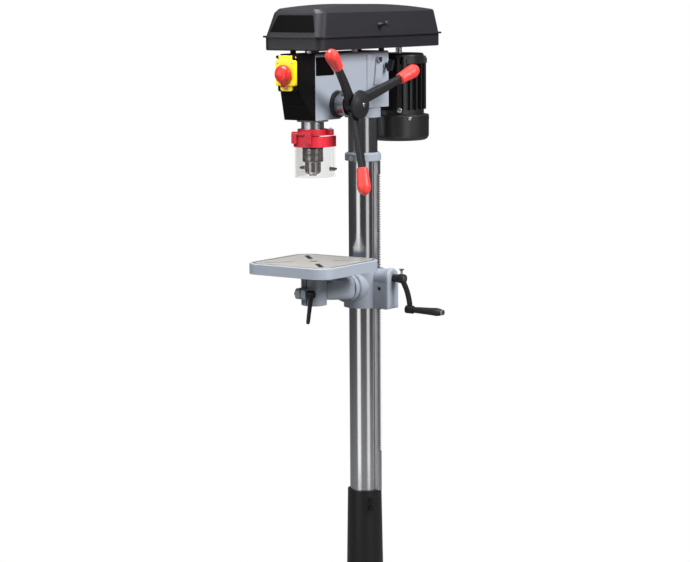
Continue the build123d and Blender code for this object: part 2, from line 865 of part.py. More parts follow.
# Crank arm: hub, curved web and an end boss for the grip's pin
with BuildPart() as crank_arm:
    hub_start = gearbox_end + slip
    with BuildSketch(Plane(origin=(hub_start, 0, worm_z), x_dir=(1, 0, 0), z_dir=(0, -1, 0))):
        with BuildLine():
            neck = crank_gap - slip
            hub_end = neck + crank_hub
            end_radius = crank_hub_radius - crank_hub_taper
            Polyline((hub_end, worm_shaft_radius), (0, worm_shaft_radius), (0, crank_neck))
            Line((0, crank_neck), (neck / 2, crank_neck))
            Spline(
                (neck / 2, crank_neck),
                (neck + crank_hub / 3, crank_hub_radius),
                (hub_end, end_radius),
                tangents=((1, 0), (crank_hub_taper, -slip)),
            )
            Line((hub_end, end_radius), (hub_end, worm_shaft_radius))
        make_face()
    revolve(axis=Axis((hub_start, 0, worm_z), (1, 0, 0)))
    crank_plane = facing_front(crank_x, 0, worm_z)
    with BuildLine(crank_plane) as crank_path:
        bow = (crank_bow[0] * crank_flare, -crank_bow[1] * crank_drop)
        ThreePointArc((0, 0), bow, (crank_flare, -crank_drop))
    with BuildSketch(crank_path.line ^ 0):
        Ellipse(crank_arm_width / 2, crank_arm_thick / 2)
    sweep(path=crank_path.line)
    grip_z = worm_z - crank_drop
    boss_start = crank_x + crank_flare - crank_boss / 2
    rod(facing_right(boss_start, 0, grip_z), crank_boss / 2, crank_boss)
    fillet(crank_arm.faces().sort_by(Axis.X)[-1].edges(), steel_edge)
    rod(facing_right(hub_start, 0, worm_z), worm_shaft_radius + seat, crank_gap + crank_hub, Mode.SUBTRACT)
    rod(facing_right(boss_start, 0, grip_z), crank_pin_radius + seat, crank_boss, Mode.SUBTRACT)
    rod(upright(crank_x, 0, worm_z), crank_screw_radius + seat, 2 * crank_hub_radius, Mode.SUBTRACT)
crank_arm.part.label = "crank_arm"
export_step(crank_arm.part, "parts/crank_arm.step")

# Crank fasteners: a thumb screw that bears on the shaft, and the pin that carries the loose grip
grip_start = boss_start + crank_boss + slip
thumb_z = worm_z + worm_shaft_radius
with BuildPart() as crank_fasteners:
    rod(upright(crank_x, 0, thumb_z), crank_screw_radius, crank_hub_radius)
    head_z = thumb_z + crank_hub_radius
    with BuildSketch(upright(crank_x, 0, head_z)):
        Circle(crank_screw_radius)
    with BuildSketch(upright(crank_x, 0, head_z + crank_screw_radius)):
        Circle(thumb_ratio * crank_screw_radius)
    loft()
    thumb_top = upright(crank_x, 0, head_z + crank_screw_radius)
    rod(thumb_top, thumb_ratio * crank_screw_radius, crank_screw_radius / 2)
    rod(facing_right(boss_start, 0, grip_z), crank_pin_radius, crank_boss + crank_grip + 2 * slip)
    hex_head(facing_right(grip_start + crank_grip + slip, 0, grip_z), crank_pin_radius)
crank_fasteners.part.label = "crank_fasteners"
export_step(crank_fasteners.part, "parts/crank_fasteners.step")

# Crank grip: a tapered sleeve with rounded ends that spins on its pin
with BuildPart() as crank_grip_sleeve:
    with BuildSketch(facing_front(grip_start, 0, grip_z)):
        with BuildLine():
            grip_bore = crank_pin_radius + run_fit
            thin = grip_thin * crank_grip_radius
            bevel_end = (shaft_chamfer, thin)
            Polyline((crank_grip, grip_bore), (0, grip_bore), (0, thin - shaft_chamfer), bevel_end)
            wide = (grip_wide_at * crank_grip, crank_grip_radius)
            Line(bevel_end, wide)
            shoulder = (grip_shoulder[0] * crank_grip, grip_shoulder[1] * crank_grip_radius)
            ThreePointArc(wide, shoulder, (crank_grip, thin))
            Line((crank_grip, thin), (crank_grip, grip_bore))
        make_face()
    revolve(axis=Axis((grip_start, 0, grip_z), (1, 0, 0)))
crank_grip_sleeve.part.label = "crank_grip"
export_step(crank_grip_sleeve.part, "parts/crank_grip.step")

# Table arm: tilt disc, a neck hollow below and a split boss for the table's shank
boss_radius = table_shank_radius + run_fit + arm_boss_wall
boss_top = table_bottom - table_hub
boss_bottom = boss_top - arm_boss
disc_back = -bracket_reach - slip
disc_front = disc_back - tilt_disc
neck_end = axis_y + table_shank_radius + arm_boss_wall / 2
with BuildPart() as table_arm:
    rod(facing_front(0, disc_back, tilt_z), tilt_disc_radius, tilt_disc)
    neck_wide = neck_wide_ratio * tilt_disc_radius
    neck_narrow = neck_narrow_ratio * boss_radius
    with BuildSketch(facing_front(0, disc_front, tilt_z)):
        RectangleRounded(neck_wide, neck_wide, neck_wide / 3)
    with BuildSketch(facing_front(0, neck_end, (boss_top + boss_bottom) / 2)):
        RectangleRounded(neck_narrow, arm_boss - 3 * arm_wall, arm_wall)
    loft()
    rod(upright(0, axis_y, boss_bottom), boss_radius, arm_boss)
    fillet(table_arm.edges().filter_by(GeomType.CIRCLE).group_by(Axis.Z)[0], casting_edge)
    pocket_end = neck_end + 2 * arm_wall
    with BuildSketch(facing_front(0, disc_front, tilt_z - arm_wall)):
        Rectangle(neck_wide - 2 * arm_wall, neck_wide)
    with BuildSketch(facing_front(0, pocket_end, boss_bottom)):
        Rectangle(neck_narrow - 2 * arm_wall, arm_boss)
    loft(mode=Mode.SUBTRACT)
    lug_out = axis_y - boss_radius - arm_lug
    lug_half = arm_slit / 2 + arm_lug_thick
    lug_z = (boss_top + boss_bottom) / 2
    with BuildSketch(facing_right(-lug_half, axis_y, lug_z)):
        with Locations(((lug_out - axis_y) / 2, 0)):
            RectangleRounded(axis_y - lug_out, arm_lug, arm_lug / 3)
    extrude(amount=2 * lug_half)
    rod(upright(0, axis_y, boss_bottom), table_shank_radius + run_fit, arm_boss, Mode.SUBTRACT)
    block((-arm_slit / 2, arm_slit / 2), (lug_out, axis_y), (boss_bottom, boss_top), Mode.SUBTRACT)
    clamp_y = axis_y - boss_radius - arm_lug / 2
    rod(facing_right(-lug_half, clamp_y, lug_z), lock_bolt_radius + run_fit, 2 * lug_half, Mode.SUBTRACT)
    rod(facing_front(0, disc_back, tilt_z), tilt_bolt_radius + seat, tilt_disc, Mode.SUBTRACT)
table_arm.part.label = "table_arm"
export_step(table_arm.part, "parts/table_arm.step")

# Tilt bolt: its head sits in the arm's hollow neck, its shank in the bracket
with BuildPart() as tilt_bolt:
    rod(facing_front(0, -bracket_bore - slip, tilt_z), tilt_bolt_radius, -bracket_bore - slip - disc_front)
    hex_head(facing_front(0, disc_front, tilt_z), tilt_bolt_radius)
tilt_bolt.part.label = "tilt_bolt"
export_step(tilt_bolt.part, "parts/tilt_bolt.step")

# Table lock: clamp bolt and lever across the arm's front lugs
with BuildPart() as table_lock:
    lock_handle(facing_right(-lug_half - slip, clamp_y, lug_z), 2 * lug_half + 2 * slip)
table_lock.part.label = "table_lock"
export_step(table_lock.part, "parts/table_lock.step")

# Work table: a ribbed square plate with a deep rim, diagonal slots and a bored shank
with BuildPart() as work_table:
    with BuildSketch(upright(0, axis_y, table_bottom)):
        RectangleRounded(table_side, table_side, table_corner)
    extrude(amount=table_rim)
    top_edges = work_table.faces().sort_by(Axis.Z)[-1].edges()
    fillet(top_edges, casting_edge)
    pocket_side = table_side - 2 * table_rim_wall
    with BuildSketch(upright(0, axis_y, table_bottom)):
        RectangleRounded(pocket_side, pocket_side, table_corner - table_rim_wall)
    extrude(amount=table_rim - table_plate, mode=Mode.SUBTRACT)
    with BuildSketch(upright(0, axis_y, table_bottom + table_rib / 2)):
        Rectangle(table_rib, pocket_side)
        Rectangle(pocket_side, table_rib)
    extrude(amount=table_rim - table_plate - table_rib / 2)
    rod(upright(0, axis_y, boss_top + slip), table_hub_radius, table_hub + table_rim - table_plate - slip)
    rod(upright(0, axis_y, boss_bottom), table_shank_radius, arm_boss + table_hub)
    trough_out = table_side - 2 * table_trough_inset
    trough_in = trough_out - 2 * table_trough_width
    with BuildSketch(upright(0, axis_y, table_height - table_trough_depth)):
        RectangleRounded(trough_out, trough_out, table_corner - table_trough_inset)
        RectangleRounded(trough_in, trough_in, table_corner / 3, mode=Mode.SUBTRACT)
    extrude(amount=table_trough_depth, mode=Mode.SUBTRACT)
    slot_middle = (table_slot_start + table_slot_end) / 2
    with BuildSketch(upright(0, axis_y, table_bottom)):
        with PolarLocations(slot_middle, 4, 45):
            SlotOverall(table_slot_end - table_slot_start, table_slot_width)
    extrude(amount=table_rim, mode=Mode.SUBTRACT)
    rod(upright(0, axis_y, boss_bottom), table_bore_radius, table_height - boss_bottom, Mode.SUBTRACT)
work_table.part.label = "work_table"
export_step(work_table.part, "parts/work_table.step")

# Head casting: a ribbed box with a column socket, a quill bore and cross bores
with BuildPart() as head_casting:
    block((-head_half, head_half), (head_front, head_tail), (head_floor, head_top))
    fillet(head_casting.edges().filter_by(Axis.Z), head_corner)
    fillet(head_casting.faces().sort_by(Axis.Z)[-1].edges(), head_edge)
    nose_back = feed_y + feed_bezel_radius / 2
    with BuildSketch(upright(0, (head_front + nose_back) / 2, nose_bottom)):
        RectangleRounded(2 * head_half, nose_back - head_front, head_corner)
    extrude(amount=head_floor - nose_bottom + head_corner)
    nose_ring = nose_bottom - head_bottom + head_corner
    rod(upright(0, axis_y, head_bottom), quill_radius + quill_ring_wall, nose_ring)
    rod(upright(0, 0, head_bottom), column_radius + seat + socket_wall, socket_collar + head_corner)
    with BuildSketch(upright(head_half, ridge_y, head_floor)):
        Ellipse(ridge_rise, ridge_width / 2)
    extrude(amount=head_top - head_floor - 2 * head_edge)
    with BuildSketch(facing_right(head_half, gusset_y, head_floor + gusset_foot)):
        with BuildLine():
            Polyline(
                (-gusset_low / 2, 0),
                (gusset_low / 2, 0),
                (gusset_high / 2, gusset_height),
                (-gusset_high / 2, gusset_height),
                close=True,
            )
        make_face()
    extrude(amount=ridge_rise, taper=gusset_draft)
    gusset_screw = facing_right(head_half, gusset_y, head_floor + gusset_foot + gusset_height)
    rod(gusset_screw, gusset_high / 2, 1.5 * ridge_rise)
    knob_plane = facing_right(head_half, slide_lock_y, slide_z)
    rod(knob_plane, 2 * set_screw_radius, ridge_rise)
    rod(upright(0, axis_y, head_bottom), quill_radius + run_fit, bearing_floor - head_bottom, Mode.SUBTRACT)
    rod(upright(0, axis_y, bearing_floor), sleeve_bearing_radius + seat, sleeve_bearing, Mode.SUBTRACT)
    rod(upright(0, 0, head_bottom), column_radius + seat, socket_depth + slip, Mode.SUBTRACT)
    rod(facing_right(-head_half, feed_y, feed_z), feed_journal + run_fit, 2 * head_half, Mode.SUBTRACT)
    for side in (-1, 1):
        bar_hole = facing_front(side * slide_spread, head_tail, slide_z)
        rod(bar_hole, slide_bar_radius + run_fit, slide_bar_depth, Mode.SUBTRACT)
    screw_depth = head_half - gusset_bite
    gusset_hole = facing_right(screw_depth, gusset_y, gusset_screw.origin.Z)
    rod(gusset_hole, set_screw_radius + seat, head_half, Mode.SUBTRACT)
    pivot_low = head_top - idler_pivot_depth
    pivot_plane = upright(idler_pivot_x, idler_pivot_y, pivot_low)
    rod(pivot_plane, idler_post_radius + run_fit, idler_pivot_depth, Mode.SUBTRACT)
    lock_start = slide_spread + slide_bar_radius + slip
    rod(facing_right(lock_start, slide_lock_y, slide_z), set_screw_radius + run_fit, head_half, Mode.SUBTRACT)
head_casting.part.label = "head_casting"
export_step(head_casting.part, "parts/head_casting.step")

# Slide lock: a winged knob that clamps the motor's slide bar
with BuildPart() as slide_lock:
    knob_start = head_half + ridge_rise + slip
    rod(facing_right(lock_start, slide_lock_y, slide_z), set_screw_radius, knob_start - lock_start)
    rod(facing_right(knob_start, slide_lock_y, slide_z), 1.5 * set_screw_radius, slide_knob / 2)
    with BuildSketch(facing_right(knob_start + slide_knob / 3, slide_lock_y, slide_z)):
        SlotOverall(slide_knob_span, slide_knob_ratio * set_screw_radius, rotation=slide_knob_turn)
    extrude(amount=slide_knob * 2 / 3, taper=slide_knob_draft)
slide_lock.part.label = "slide_lock"
export_step(slide_lock.part, "parts/slide_lock.step")

# Front cover: a moulded nose with chamfered sides, a sloping ribbed chin and an open back
with BuildPart() as front_cover:
    cover_front = head_front - cover_depth
    with BuildSketch(upright(0, head_front, nose_bottom)):
        with BuildLine():
            Polyline(
                (-head_half, 0),
                (head_half, 0),
                (cover_half, -cover_depth),
                (-cover_half, -cover_depth),
                close=True,
            )
        make_face()
    extrude(amount=head_top - nose_bottom)
    fillet(front_cover.edges().filter_by(Axis.Z).group_by(Axis.Y)[0], cover_round)
    with BuildSketch(facing_right(-head_half, head_front, nose_bottom)):
        with BuildLine():
            far = -2 * cover_depth
            Polyline((0, 0), (-cover_depth, chin_height), (far, chin_height), (far, 0), close=True)
        make_face()
    extrude(amount=2 * head_half, mode=Mode.SUBTRACT)
    offset(amount=-cover_wall, openings=front_cover.faces().sort_by(Axis.Y)[-1])
    for rib in range(chin_ribs):
        along = (rib + chin_rib_start) / (2 * chin_ribs)
        rib_place = (-cover_half, cover_front + along * cover_depth, nose_bottom + (1 - along) * chin_height)
        rod(facing_right(*rib_place), chin_rib_radius, 2 * cover_half)
front_cover.part.label = "front_cover"
export_step(front_cover.part, "parts/front_cover.step")

# Feed bezel: the fixed rim behind the depth ring
with BuildPart() as feed_bezel:
    rod(facing_right(head_half, feed_y, feed_z), feed_bezel_radius, feed_bezel_depth)
    fillet(feed_bezel.faces().sort_by(Axis.X)[-1].edges(), casting_edge)
    rod(facing_right(head_half, feed_y, feed_z), feed_shaft_radius + slip, feed_bezel_depth, Mode.SUBTRACT)
feed_bezel.part.label = "feed_bezel"
export_step(feed_bezel.part, "parts/feed_bezel.step")

# Spring cap: the cup on the left side that holds the return spring
with BuildPart() as spring_cap:
    cap_plane = turned_back(facing_right(-head_half, feed_y, feed_z))
    rod(cap_plane, spring_cap_radius, spring_cap_depth)
    fillet(spring_cap.faces().sort_by(Axis.X)[0].edges(), spring_cap_wall)
    rod(cap_plane, spring_cap_radius - spring_cap_wall, spring_cap_depth - spring_cap_wall, Mode.SUBTRACT)
    rod(cap_plane, feed_shaft_radius + run_fit, spring_cap_depth, Mode.SUBTRACT)
    for notch in range(4):
        notch_plane = cap_plane.rotated((0, 0, 90 * notch)).offset(spring_cap_wall)
        with Locations(notch_plane):
            with Locations((spring_cap_radius, 0, 0)):
                Box(spring_cap_wall / 2, 2 * spring_cap_wall, 2 * spring_cap_wall, mode=Mode.SUBTRACT)
spring_cap.part.label = "spring_cap"
export_step(spring_cap.part, "parts/spring_cap.step")

# Return spring: a flat spiral wound from the feed shaft out to the cap
with BuildPart() as return_spring:
    spring_in = feed_shaft_radius + slip + spring_strip
    spring_out = spring_cap_radius - spring_cap_wall - slip - spring_strip
    half_turns = 2 * spring_turns
    growth = (spring_out - spring_in) / half_turns
    with BuildSketch(cap_plane.offset(spring_cap_wall)):
        with BuildLine():
            for half_turn in range(half_turns):
                side = 1 if half_turn % 2 == 0 else -1
                near = spring_in + half_turn * growth
                far = near + growth
                top = (side * (near - far) / 2, side * (near + far) / 2)
                ThreePointArc((side * near, 0), top, (-side * far, 0))
        trace(line_width=spring_strip)
    extrude(amount=spring_cap_depth - 3 * spring_cap_wall)
return_spring.part.label = "return_spring"
export_step(return_spring.part, "parts/return_spring.step")

# Quill: a bored cylinder that slides in the head, with rack teeth down its back
quill_top = quill_bottom + quill_length
with BuildPart() as quill:
    rod(upright(0, axis_y, quill_bottom), quill_radius, quill_length)
    fillet(quill.faces().sort_by(Axis.Z)[0].edges(), steel_edge)
    tooth_low = feed_z - quill_rack_margin
    tooth_high = feed_z + quill_travel + quill_rack_margin
    back = (axis_y + quill_rack_flat, axis_y + quill_radius)
    block((-quill_radius, quill_radius), back, (tooth_low, tooth_high), Mode.SUBTRACT)
    quill_pitch = math.pi * quill_rack_module
    half_gap = (quill_pitch / 2 + backlash) / 2
    half_mouth = half_gap + stub_addendum * quill_rack_module * lean
    half_floor = half_gap - dedendum * quill_rack_module * lean
    quill_tooth = (stub_addendum + dedendum) * quill_rack_module
    gaps_below = math.floor(quill_rack_margin / quill_pitch)
    gaps_above = math.floor((quill_travel + quill_rack_margin) / quill_pitch)
    with BuildSketch(facing_right(-quill_radius, axis_y + quill_rack_flat, feed_z)):
        for gap in range(-gaps_below, gaps_above):
            with BuildLine():
                middle = (gap + 0.5) * quill_pitch
                Polyline(
                    (0, middle - half_mouth),
                    (0, middle + half_mouth),
                    (-quill_tooth, middle + half_floor),
                    (-quill_tooth, middle - half_floor),
                    close=True,
                )
            make_face()
    extrude(amount=2 * quill_radius, mode=Mode.SUBTRACT)
    rod(upright(0, axis_y, quill_bottom), quill_bore, quill_length, Mode.SUBTRACT)
    for level in (quill_bottom, quill_top - quill_bearing):
        rod(upright(0, axis_y, level), quill_bearing_radius + seat, quill_bearing, Mode.SUBTRACT)
quill.part.label = "quill"
export_step(quill.part, "parts/quill.step")

# Quill bearings: one in each end of the quill
with BuildPart() as quill_bearings:
    for level in (quill_bottom, quill_top - quill_bearing):
        tube(upright(0, axis_y, level), quill_bearing_radius, spindle_radius + run_fit, quill_bearing)
quill_bearings.part.label = "quill_bearings"
export_step(quill_bearings.part, "parts/quill_bearings.step")

# Spindle: taper stub, shoulder, journal and the long drive spline
chuck_top = quill_bottom - chuck_gap
spline_top = belt_floor + pulley_height + spline_above
with BuildPart() as spindle:
    rod(upright(0, axis_y, chuck_top - chuck_socket), chuck_stub_radius, chuck_socket)
    rod(upright(0, axis_y, chuck_top), spindle_radius + spindle_shoulder, chuck_gap - slip)
    rod(upright(0, axis_y, chuck_top), spindle_radius, quill_top - chuck_top)
    rod(upright(0, axis_y, quill_top), spline_radius, spline_top - quill_top)
    chamfer(spindle.faces().sort_by(Axis.Z)[-1].edges(), shaft_chamfer)
spindle.part.label = "spindle"
export_step(spindle.part, "parts/spindle.step")

# Chuck body: nose, core and top flange, with three slanting jaw bores and key holes
sleeve_top = chuck_top - chuck_flange - slip
sleeve_bottom = sleeve_top - chuck_sleeve_height
nose_end = sleeve_bottom - slip - chuck_nose
jaw_lean = math.radians(jaw_angle)
jaw_planes = []
for jaw in range(3):
    around = math.radians(jaw_turn + 120 * jaw)
    away = Vector(math.cos(around), math.sin(around), 0)
    slant = away * math.sin(jaw_lean) + Vector(0, 0, math.cos(jaw_lean))
    foot = Vector(0, axis_y, nose_end) + away * jaw_circle
    jaw_planes.append(Plane(origin=foot, z_dir=slant).offset(-jaw_show))
with BuildPart() as chuck_body:
    with BuildSketch(facing_front(0, axis_y, nose_end)):
        with BuildLine():
            rise = chuck_top - nose_end
            Polyline(
                (0, 0),
                (chuck_nose_radius - chuck_bevel, 0),
                (chuck_nose_radius, chuck_bevel),
                (chuck_nose_radius, rise - chuck_flange),
                (chuck_flange_radius, rise - chuck_flange),
                (chuck_flange_radius, rise - chuck_flange_bevel),
                (chuck_flange_radius - chuck_flange_bevel, rise),
                (0, rise),
                close=True,
            )
        make_face()
    revolve(axis=Axis((0, axis_y, 0), (0, 0, 1)))
    rod(upright(0, axis_y, chuck_top - chuck_socket), chuck_stub_radius + seat, chuck_socket, Mode.SUBTRACT)
    rod(upright(0, axis_y, nose_end), jaw_circle - jaw_radius / 2, chuck_nose, Mode.SUBTRACT)
    for jaw_plane in jaw_planes:
        rod(jaw_plane, jaw_radius + run_fit, jaw_length + jaw_travel + jaw_show, Mode.SUBTRACT)
    for hole in range(3):
        around = math.radians(jaw_turn + 60 + 120 * hole)
        key_dir = Vector(math.cos(around), math.sin(around), 0)
        key_middle = Vector(0, axis_y, nose_end + chuck_nose / 2)
        key_foot = key_middle + key_dir * (chuck_nose_radius - key_hole_depth)
        rod(Plane(origin=key_foot, z_dir=key_dir), key_hole_radius, chuck_nose_radius, Mode.SUBTRACT)
chuck_body.part.label = "chuck_body"
export_step(chuck_body.part, "parts/chuck_body.step")

# Chuck sleeve: the grooved turning ring, hollow for the jaws' tails
with BuildPart() as chuck_sleeve:
    sleeve_plane = upright(0, axis_y, sleeve_bottom)
    tube(sleeve_plane, chuck_sleeve_radius, chuck_nose_radius + slip, chuck_sleeve_height)
    chamfer(chuck_sleeve.edges().filter_by(GeomType.CIRCLE).sort_by(SortBy.RADIUS)[-2:], steel_edge)
    for share in chuck_groove_places:
        with Locations(upright(0, axis_y, sleeve_bottom + share * chuck_sleeve_height)):
            Torus(chuck_sleeve_radius, chuck_groove, mode=Mode.SUBTRACT)
    recess = chuck_sleeve_height - 2 * chuck_sleeve_land
    recess_radius = chuck_sleeve_radius - chuck_sleeve_skin
    rod(upright(0, axis_y, sleeve_bottom + chuck_sleeve_land), recess_radius, recess, Mode.SUBTRACT)
chuck_sleeve.part.label = "chuck_sleeve"
export_step(chuck_sleeve.part, "parts/chuck_sleeve.step")

# Chuck jaws: three slanting pins with pointed ends
for number, jaw_plane in enumerate(jaw_planes, start=1):
    with BuildPart() as chuck_jaw:
        rod(jaw_plane, jaw_radius, jaw_length)
        chamfer(chuck_jaw.edges().filter_by(GeomType.CIRCLE).sort_by(Axis.Z)[0], jaw_radius / 2)
    chuck_jaw.part.label = f"chuck_jaw_{number}"
    export_step(chuck_jaw.part, f"parts/chuck_jaw_{number}.step")

# Guard collar: clamps on the quill's nose and carries the guard's hinge pin in front
pin_y = axis_y - guard_radius + guard_pin_inset
pin_z = quill_bottom + guard_pin_rise
ring_radius = quill_radius + seat + guard_collar_wall
with BuildPart() as guard_collar:
    rod(upright(0, axis_y, quill_bottom), ring_radius, guard_collar_height)
    lug_rise = (pin_z - guard_knuckle / 2, pin_z + guard_knuckle)
    block((-guard_lug / 2, guard_lug / 2), (pin_y, axis_y), lug_rise)
    rod(facing_right(-guard_lug / 2, pin_y, pin_z), guard_knuckle, guard_lug)
    ear_reach = ring_radius + guard_ear
    ear_low = quill_bottom + slip
    with BuildSketch(upright(ear_reach / 2, axis_y + guard_ear_back, ear_low)):
        RectangleRounded(ear_reach, guard_ear, guard_ear / 4)
    extrude(amount=guard_collar_height - slip)
    rod(upright(0, axis_y, quill_bottom), quill_radius + seat, guard_collar_height, Mode.SUBTRACT)
    rod(facing_right(-guard_lug / 2, pin_y, pin_z), guard_pin_radius + seat, guard_lug, Mode.SUBTRACT)
    screw_place = (ring_radius + guard_ear / 2, axis_y + guard_ear_back)
    screw_plane = upright(*screw_place, quill_bottom)
    rod(screw_plane, guard_screw_radius + seat, guard_collar_height, Mode.SUBTRACT)
guard_collar.part.label = "guard_collar"
export_step(guard_collar.part, "parts/guard_collar.step")

# Guard screw and hinge pin: both stay with the collar
with BuildPart() as guard_pin:
    rod(facing_right(-guard_pin_half, pin_y, pin_z), guard_pin_radius, 2 * guard_pin_half)
    rod(screw_plane.offset(slip), guard_screw_radius, guard_collar_height)
    hex_head(screw_plane.offset(guard_collar_height), guard_screw_radius)
guard_pin.part.label = "guard_pin"
export_step(guard_pin.part, "parts/guard_pin.step")

# Guard holder: a U-shaped band that hinges up on two knuckles
band_top = pin_z - guard_knuckle - 2 * slip
band_bottom = band_top - guard_band
with BuildPart() as guard_holder:
    u_wall(upright(0, axis_y, band_bottom), guard_radius, guard_band_wall, guard_back, guard_band)
    for side in (-1, 1):
        knuckle_in = guard_lug / 2 + slip
        knuckle_out = guard_pin_half - guard_pin_radius
        spans = sorted((side * knuckle_in, side * knuckle_out))
        rod(facing_right(spans[0], pin_y, pin_z), guard_knuckle, spans[1] - spans[0])
        drop = (band_bottom + guard_band / 3, pin_z)
        block(spans, (pin_y - guard_knuckle, pin_y), drop)
    pin_plane = facing_right(-guard_pin_half, pin_y, pin_z)
    rod(pin_plane, guard_pin_radius + run_fit, 2 * guard_pin_half, Mode.SUBTRACT)
    u_inner = guard_radius - guard_band_wall
    rod(upright(0, axis_y, band_bottom), u_inner, band_top - band_bottom, Mode.SUBTRACT)
guard_holder.part.label = "guard_holder"
export_step(guard_holder.part, "parts/guard_holder.step")

# Guard shield: the clear U-shaped wall under the band
shield_radius = guard_radius - guard_band_wall - seat
shield_top = band_bottom + guard_overlap
shield_bottom = band_bottom - guard_drop
nut_y = axis_y + guard_nut_back
nut_z = shield_bottom + guard_nut_rise
with BuildPart() as guard_shield:
    shield_height = shield_top - shield_bottom
    u_wall(upright(0, axis_y, shield_bottom), shield_radius, guard_shield_wall, guard_back, shield_height)
    rod(facing_right(-guard_radius, nut_y, nut_z), guard_nut_radius + seat, 2 * guard_radius, Mode.SUBTRACT)
guard_shield.part.label = "guard_shield"
export_step(guard_shield.part, "parts/guard_shield.step")

# Guard extension: a second clear wall that slides down inside the first
with BuildPart() as guard_extension:
    extension_radius = shield_radius - guard_shield_wall - slip
    u_wall(
        upright(0, axis_y, shield_bottom + slip),
        extension_radius,
        guard_shield_wall,
        guard_back - guard_extension_short,
        shield_height - 2 * slip,
    )
    with BuildSketch(facing_right(-guard_radius, nut_y, nut_z + guard_extension_travel / 2)):
        slot_width = 2 * (guard_nut_radius + slip)
        SlotOverall(guard_extension_travel + 2 * slot_width, slot_width, rotation=90)
    extrude(amount=2 * guard_radius, mode=Mode.SUBTRACT)
guard_extension.part.label = "guard_extension"
export_step(guard_extension.part, "parts/guard_extension.step")

# Guard wing nuts: one on each side, clamping the extension
with BuildPart() as guard_wing_nuts:
    bolt_inner = extension_radius - guard_shield_wall - slip
    for side in (-1, 1):
        nut_plane = Plane(origin=(side * bolt_inner, nut_y, nut_z), x_dir=(0, 1, 0), z_dir=(side, 0, 0))
        rod(nut_plane.offset(-guard_nut_radius), 2 * guard_nut_radius, guard_nut_radius)
        bolt_length = shield_radius - bolt_inner + 3 * guard_nut_radius
        rod(nut_plane.offset(-guard_nut_radius / 2), guard_nut_radius, bolt_length)
        hub = nut_plane.offset(shield_radius - bolt_inner)
        rod(hub, hex_ratio * guard_nut_radius, 1.5 * guard_nut_radius)
        with BuildSketch(hub.offset(guard_nut_radius / 2)):
            SlotOverall(guard_wing_ratio * guard_nut_radius, 2 * guard_nut_radius)
        extrude(amount=guard_nut_radius)
guard_wing_nuts.part.label = "guard_wing_nuts"
export_step(guard_wing_nuts.part, "parts/guard_wing_nuts.step")

# Feed shaft: toothed pinion between two journals, with stub ends for the spring and the handles
hub_x = head_half + feed_bezel_depth + depth_ring_width + 2 * slip
hub_face = hub_x + feed_neck + feed_disc
with BuildPart() as feed_shaft:
    pinion_half = feed_pinion / 2
    pinion_plane = facing_right(-pinion_half, feed_y, feed_z)
    extrude(to_extrude=pinion_plane * gear_face(feed_teeth, quill_rack_module, math.pi), amount=feed_pinion)
    for side in (-1, 1):
        inner = Plane(origin=(side * pinion_half, feed_y, feed_z), x_dir=(0, 1, 0), z_dir=(side, 0, 0))
        rod(inner, feed_journal, head_half - pinion_half)
    left_end = head_half + spring_cap_depth + 2 * feed_nut
    rod(facing_right(-left_end, feed_y, feed_z), feed_shaft_radius, left_end - pinion_half)
    rod(facing_right(pinion_half, feed_y, feed_z), feed_shaft_radius, hub_face - pinion_half)
feed_shaft.part.label = "feed_shaft"
export_step(feed_shaft.part, "parts/feed_shaft.step")

# Depth ring: the turning scale ring with its small lock screw
with BuildPart() as depth_ring:
    ring_plane = facing_right(head_half + feed_bezel_depth + slip, feed_y, feed_z)
    rod(ring_plane, depth_ring_radius, depth_ring_width)
    fillet(depth_ring.faces().sort_by(Axis.X)[-1].edges(), steel_edge)
    rod(ring_plane, feed_shaft_radius + run_fit, depth_ring_width, Mode.SUBTRACT)
    lock_middle = ring_plane.offset(depth_ring_width / 2).origin
    lock_turn = math.radians(depth_screw_turn)
    lock_dir = Vector(0, -math.sin(lock_turn), math.cos(lock_turn))
    screw_foot = lock_middle + lock_dir * (depth_ring_radius - set_screw_radius / 2)
    ring_screw = Plane(origin=screw_foot, z_dir=lock_dir)
    rod(ring_screw, set_screw_radius / 2, 2 * set_screw_radius)
    rod(ring_screw.offset(1.5 * set_screw_radius), set_screw_radius, set_screw_radius)
depth_ring.part.label = "depth_ring"
export_step(depth_ring.part, "parts/depth_ring.step")

# Three arms lean outwards from the hub: planes at each arm's root, bend and tip
arm_planes = []
for arm in range(3):
    turn = math.radians(arm_turn + 120 * arm)
    away = Vector(0, math.cos(turn), math.sin(turn))
    across = Vector(0, -math.sin(turn), math.cos(turn))
    outer = away * math.cos(math.radians(grip_lean)) + Vector(math.sin(math.radians(grip_lean)), 0, 0)
    hub_middle = Vector(hub_x + feed_neck / 2, feed_y, feed_z)
    root = Plane(origin=hub_middle + away * (feed_neck_radius - arm_bite), x_dir=across, z_dir=away)
    bend = Plane(origin=hub_middle + away * arm_bend + Vector(arm_bend_out, 0, 0), x_dir=across, z_dir=away)
    tip = Plane(origin=hub_middle + away * arm_reach + Vector(arm_reach_out, 0, 0), x_dir=across, z_dir=outer)
    arm_planes.append((root, bend, tip))

